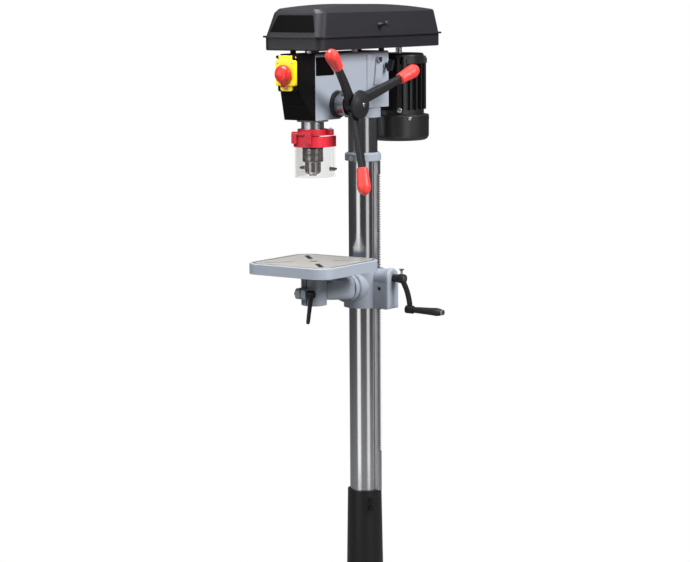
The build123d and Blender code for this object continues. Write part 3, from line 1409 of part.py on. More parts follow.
# Feed hub: a neck with three tapering arms, behind a rounded disc
with BuildPart() as feed_hub:
    with BuildSketch(Plane(origin=(hub_x, feed_y, feed_z), x_dir=(1, 0, 0), z_dir=(0, -1, 0))):
        with BuildLine():
            full = feed_neck + feed_disc
            shaft = feed_shaft_radius + seat
            edge = feed_disc / 2
            Polyline((full, shaft), (0, shaft), (0, feed_neck_radius), (feed_neck, feed_neck_radius))
            Line((feed_neck, feed_neck_radius), (feed_neck, feed_disc_radius - edge))
            ThreePointArc(
                (feed_neck, feed_disc_radius - edge),
                (feed_neck + edge, feed_disc_radius),
                (full, feed_disc_radius - edge),
            )
            dome_end = (full + hub_cap_rise, hub_screw_radius + seat)
            dome_middle = (full + 0.75 * hub_cap_rise, feed_disc_radius / 2)
            ThreePointArc((full, feed_disc_radius - edge), dome_middle, dome_end)
            Polyline(dome_end, (full, hub_screw_radius + seat), (full, shaft))
        make_face()
    revolve(axis=Axis((hub_x, feed_y, feed_z), (1, 0, 0)))
    for root, bend, tip in arm_planes:
        sections = []
        for plane, width in ((root, arm_root_width), (bend, arm_bend_width), (tip, arm_tip_width)):
            sections.append(rounded_section(plane, width, arm_thick, arm_thick / 3))
        loft(sections=sections)
    rod(facing_right(hub_x, feed_y, feed_z), shaft, full, Mode.SUBTRACT)
feed_hub.part.label = "feed_hub"
export_step(feed_hub.part, "parts/feed_hub.step")

# Feed fasteners: two jam nuts outside the spring cap and the hub's screw
with BuildPart() as feed_fasteners:
    for nut in range(2):
        nut_x = -head_half - spring_cap_depth - slip - nut * (feed_nut - slip)
        with BuildSketch(turned_back(facing_right(nut_x, feed_y, feed_z))):
            RegularPolygon(hex_ratio * feed_shaft_radius, 6, rotation=15 * nut)
            Circle(feed_shaft_radius + seat, mode=Mode.SUBTRACT)
        extrude(amount=feed_nut - 2 * slip)
    rod(facing_right(hub_face, feed_y, feed_z), hub_screw_radius, hub_cap_rise + slip)
    with Locations(facing_right(hub_face + hub_cap_rise + slip, feed_y, feed_z)):
        low = (Align.CENTER, Align.CENTER, Align.MIN)
        Cone(hex_ratio * hub_screw_radius, hub_screw_radius, hub_screw_radius, align=low)
feed_fasteners.part.label = "feed_fasteners"
export_step(feed_fasteners.part, "parts/feed_fasteners.step")

# Feed grips: a bullet-shaped grip on the end of each arm
with BuildPart() as feed_grips:
    for root, bend, tip in arm_planes:
        profile_plane = Plane(origin=tip.origin, x_dir=tip.x_dir, z_dir=tip.x_dir.cross(tip.z_dir))
        with BuildSketch(profile_plane) as grip_profile:
            with BuildLine():
                thick = (feed_grip_radius, feed_grip_wide_at * feed_grip)
                foot = (feed_grip_foot[0] * feed_grip_radius, 0)
                bevel = (feed_grip_foot[1] * feed_grip_radius, feed_grip_bevel)
                Polyline((0, feed_grip), (0, 0), foot, bevel, thick)
                end = (feed_grip_tip * feed_grip_radius, feed_grip)
                shoulder = (feed_grip_shoulder[0] * feed_grip_radius, feed_grip_shoulder[1] * feed_grip)
                ThreePointArc(thick, shoulder, end)
                Line(end, (0, feed_grip))
            make_face()
        revolve(profiles=grip_profile.sketch, axis=Axis(tip.origin, tip.z_dir))
feed_grips.part.label = "feed_grips"
export_step(feed_grips.part, "parts/feed_grips.step")

# Sleeve bearings: two rings in the top of the head
with BuildPart() as sleeve_bearings:
    for share in (0, 1):
        level = bearing_floor + share * sleeve_bearing / 2
        ring_plane = upright(0, axis_y, level)
        tube(ring_plane, sleeve_bearing_radius, sleeve_radius + run_fit, sleeve_bearing / 2 - slip)
sleeve_bearings.part.label = "sleeve_bearings"
export_step(sleeve_bearings.part, "parts/sleeve_bearings.step")

# Step pulleys: a stack of V grooves each
with BuildPart() as spindle_pulley:
    step_pulley(upright(0, axis_y, belt_floor), spindle_steps, spline_radius + run_fit)
    rod(upright(0, axis_y, bearing_floor), sleeve_radius, belt_floor - bearing_floor)
    rod(upright(0, axis_y, head_top + slip), sleeve_hub_ratio * sleeve_radius, belt_floor - head_top - slip)
    rod(upright(0, axis_y, bearing_floor), spline_radius + run_fit, belt_floor - bearing_floor, Mode.SUBTRACT)
spindle_pulley.part.label = "spindle_pulley"
export_step(spindle_pulley.part, "parts/spindle_pulley.step")

with BuildPart() as idler_pulley:
    step_pulley(upright(0, idler_y, belt_floor), idler_steps, idler_post_radius + run_fit)
idler_pulley.part.label = "idler_pulley"
export_step(idler_pulley.part, "parts/idler_pulley.step")

with BuildPart() as motor_pulley:
    step_pulley(upright(0, motor_y, belt_floor), motor_steps, motor_shaft_radius)
    shaft_low = motor_low + motor_body + slip
    shaft_top = belt_floor + pulley_height + spline_above
    rod(upright(0, motor_y, shaft_low), motor_shaft_radius, shaft_top - shaft_low)
motor_pulley.part.label = "motor_pulley"
export_step(motor_pulley.part, "parts/motor_pulley.step")

# Idler arm: a swinging plate with a pivot post in the head and a post for the middle pulley
with BuildPart() as idler_arm:
    plate_z = belt_floor - slip - idler_plate
    with BuildSketch(upright(0, 0, plate_z)):
        with BuildLine():
            pivot = Vector(idler_pivot_x, idler_pivot_y)
            hub = Vector(0, idler_y)
            Line(pivot, hub)
        trace(line_width=2 * idler_arm_round)
    extrude(amount=idler_plate)
    rod(pivot_plane, idler_post_radius, plate_z - pivot_low)
    rod(upright(0, idler_y, plate_z), idler_post_radius, idler_plate + slip + pulley_height + spline_above)
idler_arm.part.label = "idler_arm"
export_step(idler_arm.part, "parts/idler_arm.step")

# Belts: V belts in the second and third grooves
with BuildPart() as front_belt:
    belt_loop(axis_y, spindle_steps[1], idler_y, idler_steps[1], belt_floor + 1.5 * pulley_step)
front_belt.part.label = "front_belt"
export_step(front_belt.part, "parts/front_belt.step")

with BuildPart() as rear_belt:
    belt_loop(idler_y, idler_steps[2], motor_y, motor_steps[2], belt_floor + 2.5 * pulley_step)
rear_belt.part.label = "rear_belt"
export_step(rear_belt.part, "parts/rear_belt.step")

pan_front = axis_y - pan_nose
pan_rear = motor_y + pan_tail
pan_middle = (pan_front + pan_rear) / 2
pan_length = pan_rear - pan_front
pan_bottom = head_top + pan_gap
pan_rim = pan_bottom + pan_height
post_places = [(x, y) for x in (-post_spread, post_spread) for y in (axis_y - post_front, post_rear)]

# Belt pan: the shallow sheet-metal tray under the pulleys, on four pressed feet
hinge_x = -pan_half - lid_lip - lid_knuckle - 2 * slip
hinge_z = pan_rim + slip
with BuildPart() as belt_pan:
    with BuildSketch(upright(0, pan_middle, pan_bottom)):
        RectangleRounded(2 * pan_half, pan_length, pan_corner)
    extrude(amount=pan_height)
    fillet(belt_pan.faces().sort_by(Axis.Z)[0].edges(), pan_floor)
    with BuildSketch(upright(0, pan_middle, pan_bottom + pan_floor)):
        RectangleRounded(2 * (pan_half - pan_wall), pan_length - 2 * pan_wall, pan_corner - pan_wall)
    extrude(amount=pan_height, mode=Mode.SUBTRACT)
    for x, y in post_places:
        rod(upright(x, y, head_top), post_radius, pan_gap + pan_floor)
    for y in hinge_places:
        for side in (-1, 1):
            inner = y + side * (lid_knuckle_width / 2 + slip)
            spans = sorted((inner, inner + side * lid_knuckle_width))
            rod(facing_back(hinge_x, spans[0], hinge_z), lid_knuckle, spans[1] - spans[0])
            lug_top = hinge_z - lid_pin_radius - slip
            block((hinge_x - lid_pin_radius, -pan_half + pan_wall), spans, (lug_top - lid_knuckle, lug_top))
        pin_plane = facing_back(hinge_x, y - 2 * lid_knuckle_width, hinge_z)
        rod(pin_plane, lid_pin_radius + seat, 4 * lid_knuckle_width, Mode.SUBTRACT)
    rod(upright(0, axis_y, pan_bottom), sleeve_hub_ratio * sleeve_radius + pan_gap, pan_floor, Mode.SUBTRACT)
    rod(upright(idler_pivot_x, idler_pivot_y, pan_bottom), 1.5 * idler_post_radius, pan_floor, Mode.SUBTRACT)
    with BuildSketch(upright(0, motor_y + (motor_slide_out - motor_slide_in) / 2, pan_bottom)):
        SlotCenterToCenter(motor_slide_in + motor_slide_out, 2 * (motor_shaft_radius + pan_gap), rotation=90)
    extrude(amount=pan_floor, mode=Mode.SUBTRACT)
belt_pan.part.label = "belt_pan"
export_step(belt_pan.part, "parts/belt_pan.step")

# Frame fasteners: flange bolts, set screws on the column, the head's screw and the lid's hinge pins
with BuildPart() as frame_fasteners:
    for turn in range(4):
        angle = math.radians(45 + 90 * turn)
        place = (flange_bolt_circle * math.cos(angle), flange_bolt_circle * math.sin(angle))
        bolt_length = flange_bolt_bite + flange_foot
        rod(upright(*place, column_foot - flange_bolt_bite), flange_bolt_radius, bolt_length)
        hex_head(upright(*place, column_foot + flange_foot), flange_bolt_radius)
    for level in flange_screw_levels:
        shank = flange_waist_radius - column_radius
        rod(outward(flange_screw_angle, level).offset(column_radius), set_screw_radius, shank)
        hex_head(outward(flange_screw_angle, level).offset(column_radius + shank), set_screw_radius)
    collar_out = column_radius + collar_wall + 2 * seat
    rod(facing_front(0, -column_radius, collar_screw_z), set_screw_radius, collar_out - column_radius)
    hex_head(facing_front(0, -collar_out, collar_screw_z), set_screw_radius)
    screw_face = head_half + 1.5 * ridge_rise
    rod(gusset_hole, set_screw_radius, screw_face - screw_depth)
    hex_head(facing_right(screw_face, gusset_y, gusset_screw.origin.Z), set_screw_radius)
    for y in hinge_places:
        reach = 1.5 * lid_knuckle_width + slip
        rod(facing_back(hinge_x, y - reach, hinge_z), lid_pin_radius, 2 * reach)
frame_fasteners.part.label = "frame_fasteners"
export_step(frame_fasteners.part, "parts/frame_fasteners.step")

# Guard lid: a deep crowned cover that opens to the left, with a lip and a sloping front
with BuildPart() as guard_lid:
    lid_bottom = pan_rim + slip
    crown_shell(0, lid_bottom, Mode.ADD)
    with BuildSketch(upright(0, pan_middle, lid_bottom)):
        RectangleRounded(2 * (pan_half + lid_lip), pan_length + 2 * lid_lip, pan_corner + lid_lip)
    extrude(amount=lid_lip_height)
    crown_shell(lid_wall, lid_bottom, Mode.SUBTRACT)
    for y in hinge_places:
        spans = (y - lid_knuckle_width / 2, y + lid_knuckle_width / 2)
        knuckle_plane = facing_back(hinge_x, spans[0], hinge_z)
        rod(knuckle_plane, lid_knuckle, lid_knuckle_width)
        block((hinge_x, -pan_half - lid_wall), spans, (hinge_z + slip, hinge_z + lid_knuckle))
        rod(knuckle_plane, lid_pin_radius + run_fit, lid_knuckle_width, Mode.SUBTRACT)
guard_lid.part.label = "guard_lid"
export_step(guard_lid.part, "parts/guard_lid.step")

# Lid knob: a waisted pull, square to the lid's sloping right side
with BuildPart() as lid_knob:
    lean_in = (pan_half - lid_shoulder_half) * lid_knob_rise / lid_shoulder
    knob_out = Vector(lid_shoulder, 0, pan_half - lid_shoulder_half).normalized()
    knob_foot = Vector(pan_half - lean_in, lid_knob_y, lid_bottom + lid_knob_rise)
    with BuildSketch(Plane(origin=knob_foot, x_dir=knob_out, z_dir=(0, -1, 0))):
        with BuildLine():
            foot = (lid_knob_foot, lid_knob_radius)
            neck = (lid_knob_neck[0] * lid_knob_length, lid_knob_neck[1] * lid_knob_radius)
            belly = (lid_knob_belly * lid_knob_length, lid_knob_radius)
            end = (lid_knob_length, lid_knob_tip * lid_knob_radius)
            shoulder = (lid_knob_shoulder[0] * lid_knob_length, lid_knob_shoulder[1] * lid_knob_radius)
            Polyline(end, (lid_knob_length, 0), (0, 0), (0, lid_knob_radius), foot)
            ThreePointArc(foot, neck, belly)
            ThreePointArc(belly, shoulder, end)
        make_face()
    revolve(axis=Axis(knob_foot, knob_out))
lid_knob.part.label = "lid_knob"
export_step(lid_knob.part, "parts/lid_knob.step")

# Motor housing: finned body between two end bells, with mounting pads and a terminal box
with BuildPart() as motor_housing:
    with BuildSketch(upright(0, motor_y, motor_low)):
        Circle(motor_core_radius)
        with PolarLocations((motor_core_radius + motor_fin_radius) / 2 - fin_root, fin_count):
            Rectangle(motor_fin_radius - motor_core_radius + 2 * fin_root, fin_thick)
    extrude(amount=motor_body)
    bell_radius = (motor_core_radius + motor_fin_radius) / 2
    rod(upright(0, motor_y, motor_low + motor_body), bell_radius, motor_bell)
    fillet(motor_housing.faces().sort_by(Axis.Z)[-1].edges(), motor_bell / 4)
    rod(upright(0, motor_y, fan_top), bell_radius, motor_low - fan_top)
    for share in (0.25, 0.75):
        pad_z = motor_low + share * motor_body
        pad_y = (mount_back, motor_y - motor_core_radius / 2)
        block((-slide_spread, slide_spread), pad_y, (pad_z - motor_pad / 2, pad_z + motor_pad / 2))
    for turn in range(4):
        angle = math.radians(45 + 90 * turn)
        lug = (bell_radius * math.cos(angle), motor_y + bell_radius * math.sin(angle))
        rod(upright(*lug, motor_low + motor_body), motor_lug_radius, motor_bell / 2)
        hex_head(upright(*lug, motor_low + motor_body + motor_bell / 2), set_screw_radius)
    box_z = motor_low + motor_body / 2
    with BuildSketch(turned_back(facing_right(-motor_core_radius / 2, motor_y, box_z))):
        RectangleRounded(terminal_width, terminal_height, terminal_round)
    extrude(amount=motor_core_radius / 2 + terminal_depth)
    gland_x = -motor_core_radius - terminal_depth / 2
    rod(turned_back(upright(gland_x, motor_y, box_z - terminal_height / 2)), gland_radius, gland_length)
    hex_gland = turned_back(upright(gland_x, motor_y, box_z - terminal_height / 2 - gland_length / 3))
    rod(hex_gland, 1.25 * gland_radius, gland_length / 3)
    seal_height = motor_bell + pulley_floor
    rod(upright(0, motor_y, motor_low + motor_body), motor_shaft_radius + slip, seal_height, Mode.SUBTRACT)
    fan_bore = motor_low - fan_top
    rod(upright(0, motor_y, fan_top), motor_shaft_radius + slip, fan_bore, Mode.SUBTRACT)
motor_housing.part.label = "motor_housing"
export_step(motor_housing.part, "parts/motor_housing.step")

# Fan cover: a spun cup with slots in its floor, under the motor
with BuildPart() as fan_cover:
    rod(upright(0, motor_y, fan_low), fan_cover_radius, fan_cover_height)
    fillet(fan_cover.faces().sort_by(Axis.Z)[0].edges(), fan_cover_round)
    fillet(fan_cover.faces().sort_by(Axis.Z)[-1].edges(), fan_cover_wall)
    inner_height = fan_cover_height - 2 * fan_cover_wall
    inner_radius = fan_cover_radius - fan_cover_round
    rod(upright(0, motor_y, fan_low + fan_cover_wall), inner_radius, inner_height, Mode.SUBTRACT)
    with BuildSketch(upright(0, motor_y, fan_low)):
        with PolarLocations(fan_cover_radius / 2, fan_slots):
            SlotOverall(fan_cover_radius / 2, fan_slot_width)
    extrude(amount=fan_cover_wall, mode=Mode.SUBTRACT)
    for turn in range(4):
        angle = math.radians(fan_screw_turn + 90 * turn)
        aim = Vector(math.cos(angle), math.sin(angle), 0)
        screw = Vector(0, motor_y, fan_top - 2 * set_screw_radius) + aim * (fan_cover_radius - seat)
        rod(Plane(origin=screw, z_dir=aim), set_screw_radius, set_screw_radius / 2)
fan_cover.part.label = "fan_cover"
export_step(fan_cover.part, "parts/fan_cover.step")

# Motor mount: a plate with two round bars that slide in the head
with BuildPart() as motor_mount:
    mount_height = slide_z + 2 * slide_bar_radius - motor_low
    with BuildSketch(facing_front(0, mount_back, motor_low + mount_height / 2)):
        RectangleRounded(2 * (slide_spread + 2 * slide_bar_radius), mount_height, slide_bar_radius)
    extrude(amount=mount_plate)
    bar_length = mount_back - mount_plate - head_tail + slide_bar_depth - motor_slide_in - 2 * slip
    for side in (-1, 1):
        bar_plane = facing_front(side * slide_spread, mount_back - mount_plate, slide_z)
        rod(bar_plane, slide_bar_radius, bar_length)
motor_mount.part.label = "motor_mount"
export_step(motor_mount.part, "parts/motor_mount.step")

# Switch base: a shallow box on the front cover with two lugs for the flap's hinge
switch_low = nose_bottom + chin_height + slip
switch_top = switch_low + switch_height
switch_front = cover_front - switch_depth
hinge_y = switch_front - flap_barrel - slip
flap_z = switch_top - flap_barrel
button_z = switch_low + stop_rise
with BuildPart() as switch_base:
    with BuildSketch(facing_front(0, cover_front, (switch_low + switch_top) / 2)):
        RectangleRounded(2 * switch_half, switch_height, switch_round)
    extrude(amount=switch_depth)
    for side in (-1, 1):
        spans = sorted((side * (switch_half - switch_lug), side * switch_half))
        rod(facing_right(spans[0], hinge_y, flap_z), flap_barrel, switch_lug)
        block(spans, (hinge_y, switch_front), (flap_z - flap_barrel, flap_z + flap_barrel))
    rod(facing_right(-switch_half, hinge_y, flap_z), flap_stub + run_fit, 2 * switch_half, Mode.SUBTRACT)
    for z in (button_z, button_z + start_gap):
        button_hole = facing_front(0, cover_front - switch_wall, z)
        rod(button_hole, button_radius + run_fit, switch_depth, Mode.SUBTRACT)
switch_base.part.label = "switch_base"
export_step(switch_base.part, "parts/switch_base.step")

# Start and stop buttons behind the flap
for name, z in (("stop_button", button_z), ("start_button", button_z + start_gap)):
    with BuildPart() as button:
        button_back = cover_front - switch_wall - button_travel - slip
        button_front = switch_front - button_proud
        rod(facing_front(0, button_back, z), button_radius, button_back - button_front)
        fillet(button.faces().sort_by(Axis.Y)[0].edges(), shaft_chamfer)
    button.part.label = name
    export_step(button.part, f"parts/{name}.step")

# Switch flap: a hollow lift-up cover with a finger tab, hinged at its top
flap_front = switch_front - slip - flap_depth
with BuildPart() as switch_flap:
    flap_top = flap_z - 2 * flap_barrel
    flap_low = flap_top - flap_height
    flap_half = switch_half + flap_wall / 4
    with BuildSketch(facing_front(0, switch_front - slip, (flap_top + flap_low) / 2)):
        RectangleRounded(2 * flap_half, flap_height, switch_round)
    extrude(amount=flap_depth)
    fillet(switch_flap.faces().sort_by(Axis.Y)[0].edges(), flap_wall)
    with BuildSketch(facing_front(0, switch_front - slip, flap_low)):
        RectangleRounded(flap_tab_width, 2 * flap_tab, flap_tab / 2)
    extrude(amount=flap_depth / 2)
    neck_half = switch_half - switch_lug - slip
    block((-neck_half, neck_half), (flap_front + flap_wall, hinge_y), (flap_top - flap_wall, flap_z))
    rod(facing_right(-neck_half, hinge_y, flap_z), flap_barrel, 2 * neck_half)
    rod(facing_right(-switch_half, hinge_y, flap_z), flap_stub, 2 * switch_half)
    with BuildSketch(facing_front(0, switch_front - slip, (flap_top + flap_low) / 2)):
        inner_width = 2 * (flap_half - flap_wall)
        RectangleRounded(inner_width, flap_height - 2 * flap_wall, switch_round - flap_wall / 2)
    extrude(amount=flap_depth - flap_wall, mode=Mode.SUBTRACT)
    rod(facing_front(0, switch_front, button_z), stop_stem + run_fit, flap_depth + slip, Mode.SUBTRACT)
switch_flap.part.label = "switch_flap"
export_step(switch_flap.part, "parts/switch_flap.step")

# Stop head: the red drop-shaped mushroom whose stem reaches the stop button through the flap
with BuildPart() as stop_head:
    stop_back = flap_front - button_travel - slip
    with BuildSketch(facing_front(0, stop_back, button_z)):
        Circle(stop_radius)
        with Locations((0, -stop_tail)):
            Circle(stop_tail_radius)
        make_hull()
    extrude(amount=stop_thick)
    fillet(stop_head.faces().sort_by(Axis.Y)[0].edges(), stop_thick / 2.5)
    stem_end = switch_front - button_proud - slip
    rod(facing_back(0, stop_back, button_z), stop_stem, stem_end - stop_back)
stop_head.part.label = "stop_head"
export_step(stop_head.part, "parts/stop_head.step")
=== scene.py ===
"""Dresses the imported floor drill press: finishes for every part, small fittings, a studio and a camera."""

import bpy
import numpy as np
from mathutils import Matrix, Vector
from mathutils.bvhtree import BVHTree


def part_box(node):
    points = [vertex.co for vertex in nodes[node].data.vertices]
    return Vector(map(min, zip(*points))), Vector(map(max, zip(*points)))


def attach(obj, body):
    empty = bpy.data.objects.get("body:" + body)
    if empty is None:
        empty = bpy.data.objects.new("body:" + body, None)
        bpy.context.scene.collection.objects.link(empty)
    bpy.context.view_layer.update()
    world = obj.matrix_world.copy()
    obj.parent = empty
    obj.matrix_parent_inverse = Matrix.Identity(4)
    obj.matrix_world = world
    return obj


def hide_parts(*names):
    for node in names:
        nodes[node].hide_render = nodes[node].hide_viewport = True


bl_info = {
    "name": "Floor Drill Press",
    "version": (1, 0, 0),
    "blender": (4, 5, 0),
    "location": "View3D > Sidebar > Drill Press",
    "description": "Finishes and small fittings for a packed floor drill press",
    "category": "Object",
}

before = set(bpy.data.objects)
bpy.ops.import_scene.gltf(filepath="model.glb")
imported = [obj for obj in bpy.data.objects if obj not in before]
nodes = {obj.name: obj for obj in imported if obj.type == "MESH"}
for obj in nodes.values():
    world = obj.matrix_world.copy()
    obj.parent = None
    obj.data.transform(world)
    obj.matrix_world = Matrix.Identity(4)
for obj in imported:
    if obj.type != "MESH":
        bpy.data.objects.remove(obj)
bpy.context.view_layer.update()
outside = 0.6  # metres: a ray that starts this far off starts outside the part
x_axis, y_axis, z_axis = np.eye(3)


def linear(red, green, blue):
    """Linear colour of a screen colour given as three numbers from 0 to 255."""
    shares = np.array((red, green, blue)) / 255
    low = shares / 12.92
    high = ((shares + 0.055) / 1.055) ** 2.4
    return tuple(float(v) for v in np.where(shares <= 0.04045, low, high))


class DrillColours(bpy.types.PropertyGroup):
    """Colours of the paints and plastics."""

    def tint(name, note, red, green, blue):
        return bpy.props.FloatVectorProperty(
            name=name, description=note, subtype="COLOR", size=3, min=0, max=1,
            default=linear(red, green, blue),
        )

    enamel: tint("Enamel", "Blue-grey enamel on the castings", 150, 157, 168)
    ground_iron: tint("Ground iron", "Machined top of the table", 196, 193, 188)
    guard_coat: tint("Guard coat", "Charcoal powder coat on the belt guard", 33, 32, 36)
    satin_black: tint("Satin black", "Black paint on flange, crank and motor", 24, 23, 24)
    cover_black: tint("Cover black", "Moulded front cover", 11, 10, 11)
    arm_black: tint("Arm black", "Moulded feed arms and knobs", 34, 34, 37)
    grip_red: tint("Grip red", "Feed grips", 238, 62, 56)
    holder_red: tint("Holder red", "Band of the chuck guard", 200, 40, 55)
    switch_yellow: tint("Switch yellow", "Flap of the switch", 252, 218, 24)
    stop_red: tint("Stop red", "Stop head and stop button", 226, 42, 34)
    start_green: tint("Start green", "Start button", 34, 140, 62)
    steel: tint("Steel", "Bright machined steel", 200, 200, 202)
    base_grey: tint("Base grey", "Paint on the base", 96, 99, 105)
    del tint


class DrillSizes(bpy.types.PropertyGroup):
    """Sizes of the camera and the small fittings."""

    def size(name, note, metres):
        return bpy.props.FloatProperty(name=name, description=note, unit="LENGTH", default=metres)

    camera_distance: size("Camera distance", "Column to camera, along the floor", 5.6)
    camera_height: size("Camera height", "Floor to camera", 1.65)
    aim_height: size("Aim height", "Height that the camera points at", 0.903)
    aim_left: size("Aim left", "How far left of the column the camera points", 0.0465)
    floor_radius: size("Floor radius", "Radius of the floor", 14)
    plate_thick: size("Plate thickness", "Thickness of the bare plates", 0.0008)
    plate_corner: size("Plate corner", "Corner round of the bare plates", 0.005)
    panel_low: size("Lid panel foot", "Lid's lip to the panel's lower edge", 0.018)
    panel_high: size("Lid panel top", "Lid's lip to the panel's upper edge", 0.058)
    panel_foot: size("Lid panel lower half", "Half the panel's lower edge", 0.066)
    panel_head: size("Lid panel upper half", "Half the panel's upper edge", 0.052)
    label_near: size("Head plate front", "Cover's seam to the plate", 0.004)
    label_far: size("Head plate back", "Cover's seam to the plate's far edge", 0.076)
    label_low: size("Head plate foot", "Head's top to the plate's lower edge", 0.052)
    label_high: size("Head plate top", "Head's top to the plate's upper edge", 0.008)
    arm_offset: size("Arm offset", "Depth ring's face to the middle of the arms", 0.0135)
    arm_root: size("Arm root", "Width of a feed arm at the hub", 0.030)
    arm_bend: size("Arm bend", "Width of a feed arm at its bend", 0.023)
    arm_tip: size("Arm tip", "Width of a feed arm at its grip", 0.018)
    arm_thick: size("Arm thickness", "Thickness of a feed arm", 0.0145)
    arm_start: size("Arm start", "Feed's axis to the root of an arm", 0.019)
    arm_elbow: size("Arm elbow", "Feed's axis to the bend of an arm", 0.095)
    arm_grip: size("Arm grip", "Feed's axis to where the lean ends", 0.150)
    arm_reach: size("Arm reach", "Feed's axis to the end of an arm", 0.152)
    arm_elbow_out: size("Arm elbow out", "How far out the bend of an arm is", 0.024)
    arm_grip_out: size("Arm grip out", "How far out the end of an arm is", 0.038)
    lever_head: size("Lever bolt head", "Height of a lock bolt's head", 0.0065)
    lever_shank: size("Lever shank", "Length of a lock bolt's shank", 0.0316)
    lever_bolt: size("Lever bolt", "Radius of a lock bolt", 0.005)
    lever_flat: size("Lever bolt flat", "Half the width across a lock bolt's flats", 0.00775)
    lever_hub: size("Lever hub", "Length of a lock lever's hub", 0.016)
    lever_hub_radius: size("Lever hub radius", "Radius of a lock lever's hub", 0.010)
    lever_root: size("Lever root", "Width of a lock lever at its hub", 0.016)
    lever_end: size("Lever end", "Width of a lock lever at its end", 0.0105)
    lever_thick: size("Lever thickness", "Thickness of a lock lever", 0.006)
    lever_length: size("Lever length", "Hub to end of a lock lever", 0.072)
    tick_width: size("Tick width", "Width of a scale's lines", 0.0005)
    tick_height: size("Tick height", "Height of a scale's lines", 0.0002)
    fan_screw: size("Fan screw", "Radius of the fan cover's screws", 0.0055)
    fan_screw_drop: size("Fan screw drop", "Fan cover's rim down to its screws", 0.008)
    bell_screw: size("Bell screw", "Radius of the motor's screw", 0.0075)
    bell_screw_rise: size("Bell screw rise", "Fan cover's rim up to the motor's screw", 0.012)
    hub_screw: size("Hub screw", "Radius of the feed hub's screw", 0.006)
    flap_screw: size("Flap screw", "Radius of the switch flap's screws", 0.0022)
    flap_screw_half: size("Flap screw spacing", "Half the distance between the flap's screws", 0.021)
    flap_screw_drop: size("Flap screw drop", "Top of the flap down to its screws", 0.0165)
    plug: size("Plug", "Radius of the plugs over the lift gear's pin", 0.0048)
    knob_radius: size("Stop head radius", "Round part of the stop head", 0.022)
    knob_tail: size("Stop head tail", "Stop head's centre to the end of its tab", 0.0305)
    knob_tab: size("Stop head tab", "Half the width of the stop head's tab", 0.006)
    knob_thick: size("Stop head depth", "Stop head's back to the top of its dome", 0.017)
    knob_stem: size("Stop head stem", "Radius of the stop head's stem", 0.005)
    del size

    def angle(name, note, degrees):
        turn = float(np.radians(degrees))
        return bpy.props.FloatProperty(name=name, description=note, subtype="ANGLE", default=turn)

    camera_turn: angle("Camera turn", "Angle of the camera round the column", 35)
    camera_roll: angle("Camera roll", "Roll of the camera", -0.37)
    arm_turn: angle("Arm turn", "Angle of the first feed arm", 22)
    fan_screw_turn: angle("Fan screw turn", "Angle of the fan cover's first screw", -35)
    bell_screw_turn: angle("Bell screw turn", "Angle of the motor's screw", -55)
    tilt_span: angle("Tilt span", "Largest angle on the tilt scale", 45)
    tilt_step: angle("Tilt step", "Angle between lines of the tilt scale", 3)
    del angle

    def slope(name, note, share):
        return bpy.props.FloatProperty(
            name=name, description=note, subtype="FACTOR", min=0, max=1, default=share
        )

    lever_lean: slope("Lever lean", "Lean outwards, per unit of drop", 0.06)
    lever_swing: slope("Lever swing", "Swing forwards, per unit of drop", 0.29)
    del slope
    camera_lens: bpy.props.FloatProperty(
        name="Camera lens", description="Focal length on a 36 mm sensor", unit="CAMERA", default=117.9
    )


class Value:
    """A shader socket that Python's operators work on: each operator adds a Math node."""

    def __init__(self, finish, socket):
        self.finish = finish
        self.socket = socket

    def math(self, operation, *terms):
        return self.finish.node("Math", {"operation": operation}, dict(enumerate(terms)))

    def __add__(self, other):
        return self.math("ADD", self, other)

    __radd__ = __add__

    def __sub__(self, other):
        return self.math("SUBTRACT", self, other)

    def __rsub__(self, other):
        return self.math("SUBTRACT", other, self)

    def __mul__(self, other):
        return self.math("MULTIPLY", self, other)

    __rmul__ = __mul__

    def __pow__(self, other):
        return self.math("POWER", self, other)

    def __abs__(self):
        return self.math("ABSOLUTE", self)

    def at_least(self, level):
        return self.math("MAXIMUM", self, level)

    def above(self, level):
        """1 where the value is over level, else 0."""
        return self.math("GREATER_THAN", self, level)

    def between(self, low, high):
        """Smooth step: 0 at low, 1 at high."""
        settings = {"interpolation_type": "SMOOTHSTEP"}
        inputs = {"Value": self, "From Min": low, "From Max": high, "To Min": 0.0, "To Max": 1.0}
        return self.finish.node("MapRange", settings, inputs)


class Wiring:
    """A node tree as it is written: node() adds a node, and expressions on Value add the maths."""

    def __init__(self, tree):
        self.tree = tree

    def node(self, kind, settings=None, inputs=None, out=0):
        made = self.tree.nodes.new("ShaderNode" + kind)
        for key, value in (settings or {}).items():
            setattr(made, key, value)
        for key, value in (inputs or {}).items():
            self.feed(made.inputs[key], value)
        return Value(self, made.outputs[out])

    def feed(self, socket, value):
        if isinstance(value, Value):
            self.tree.links.new(value.socket, socket)
        else:
            socket.default_value = value

    def dot(self, first, second):
        """Scalar product of two vectors."""
        settings = {"operation": "DOT_PRODUCT"}
        return self.node("VectorMath", settings, {0: first, 1: second}, out="Value")

    def ray(self, kind):
        """1 for rays of that kind, else 0."""
        return self.node("LightPath", out=f"Is {kind} Ray")


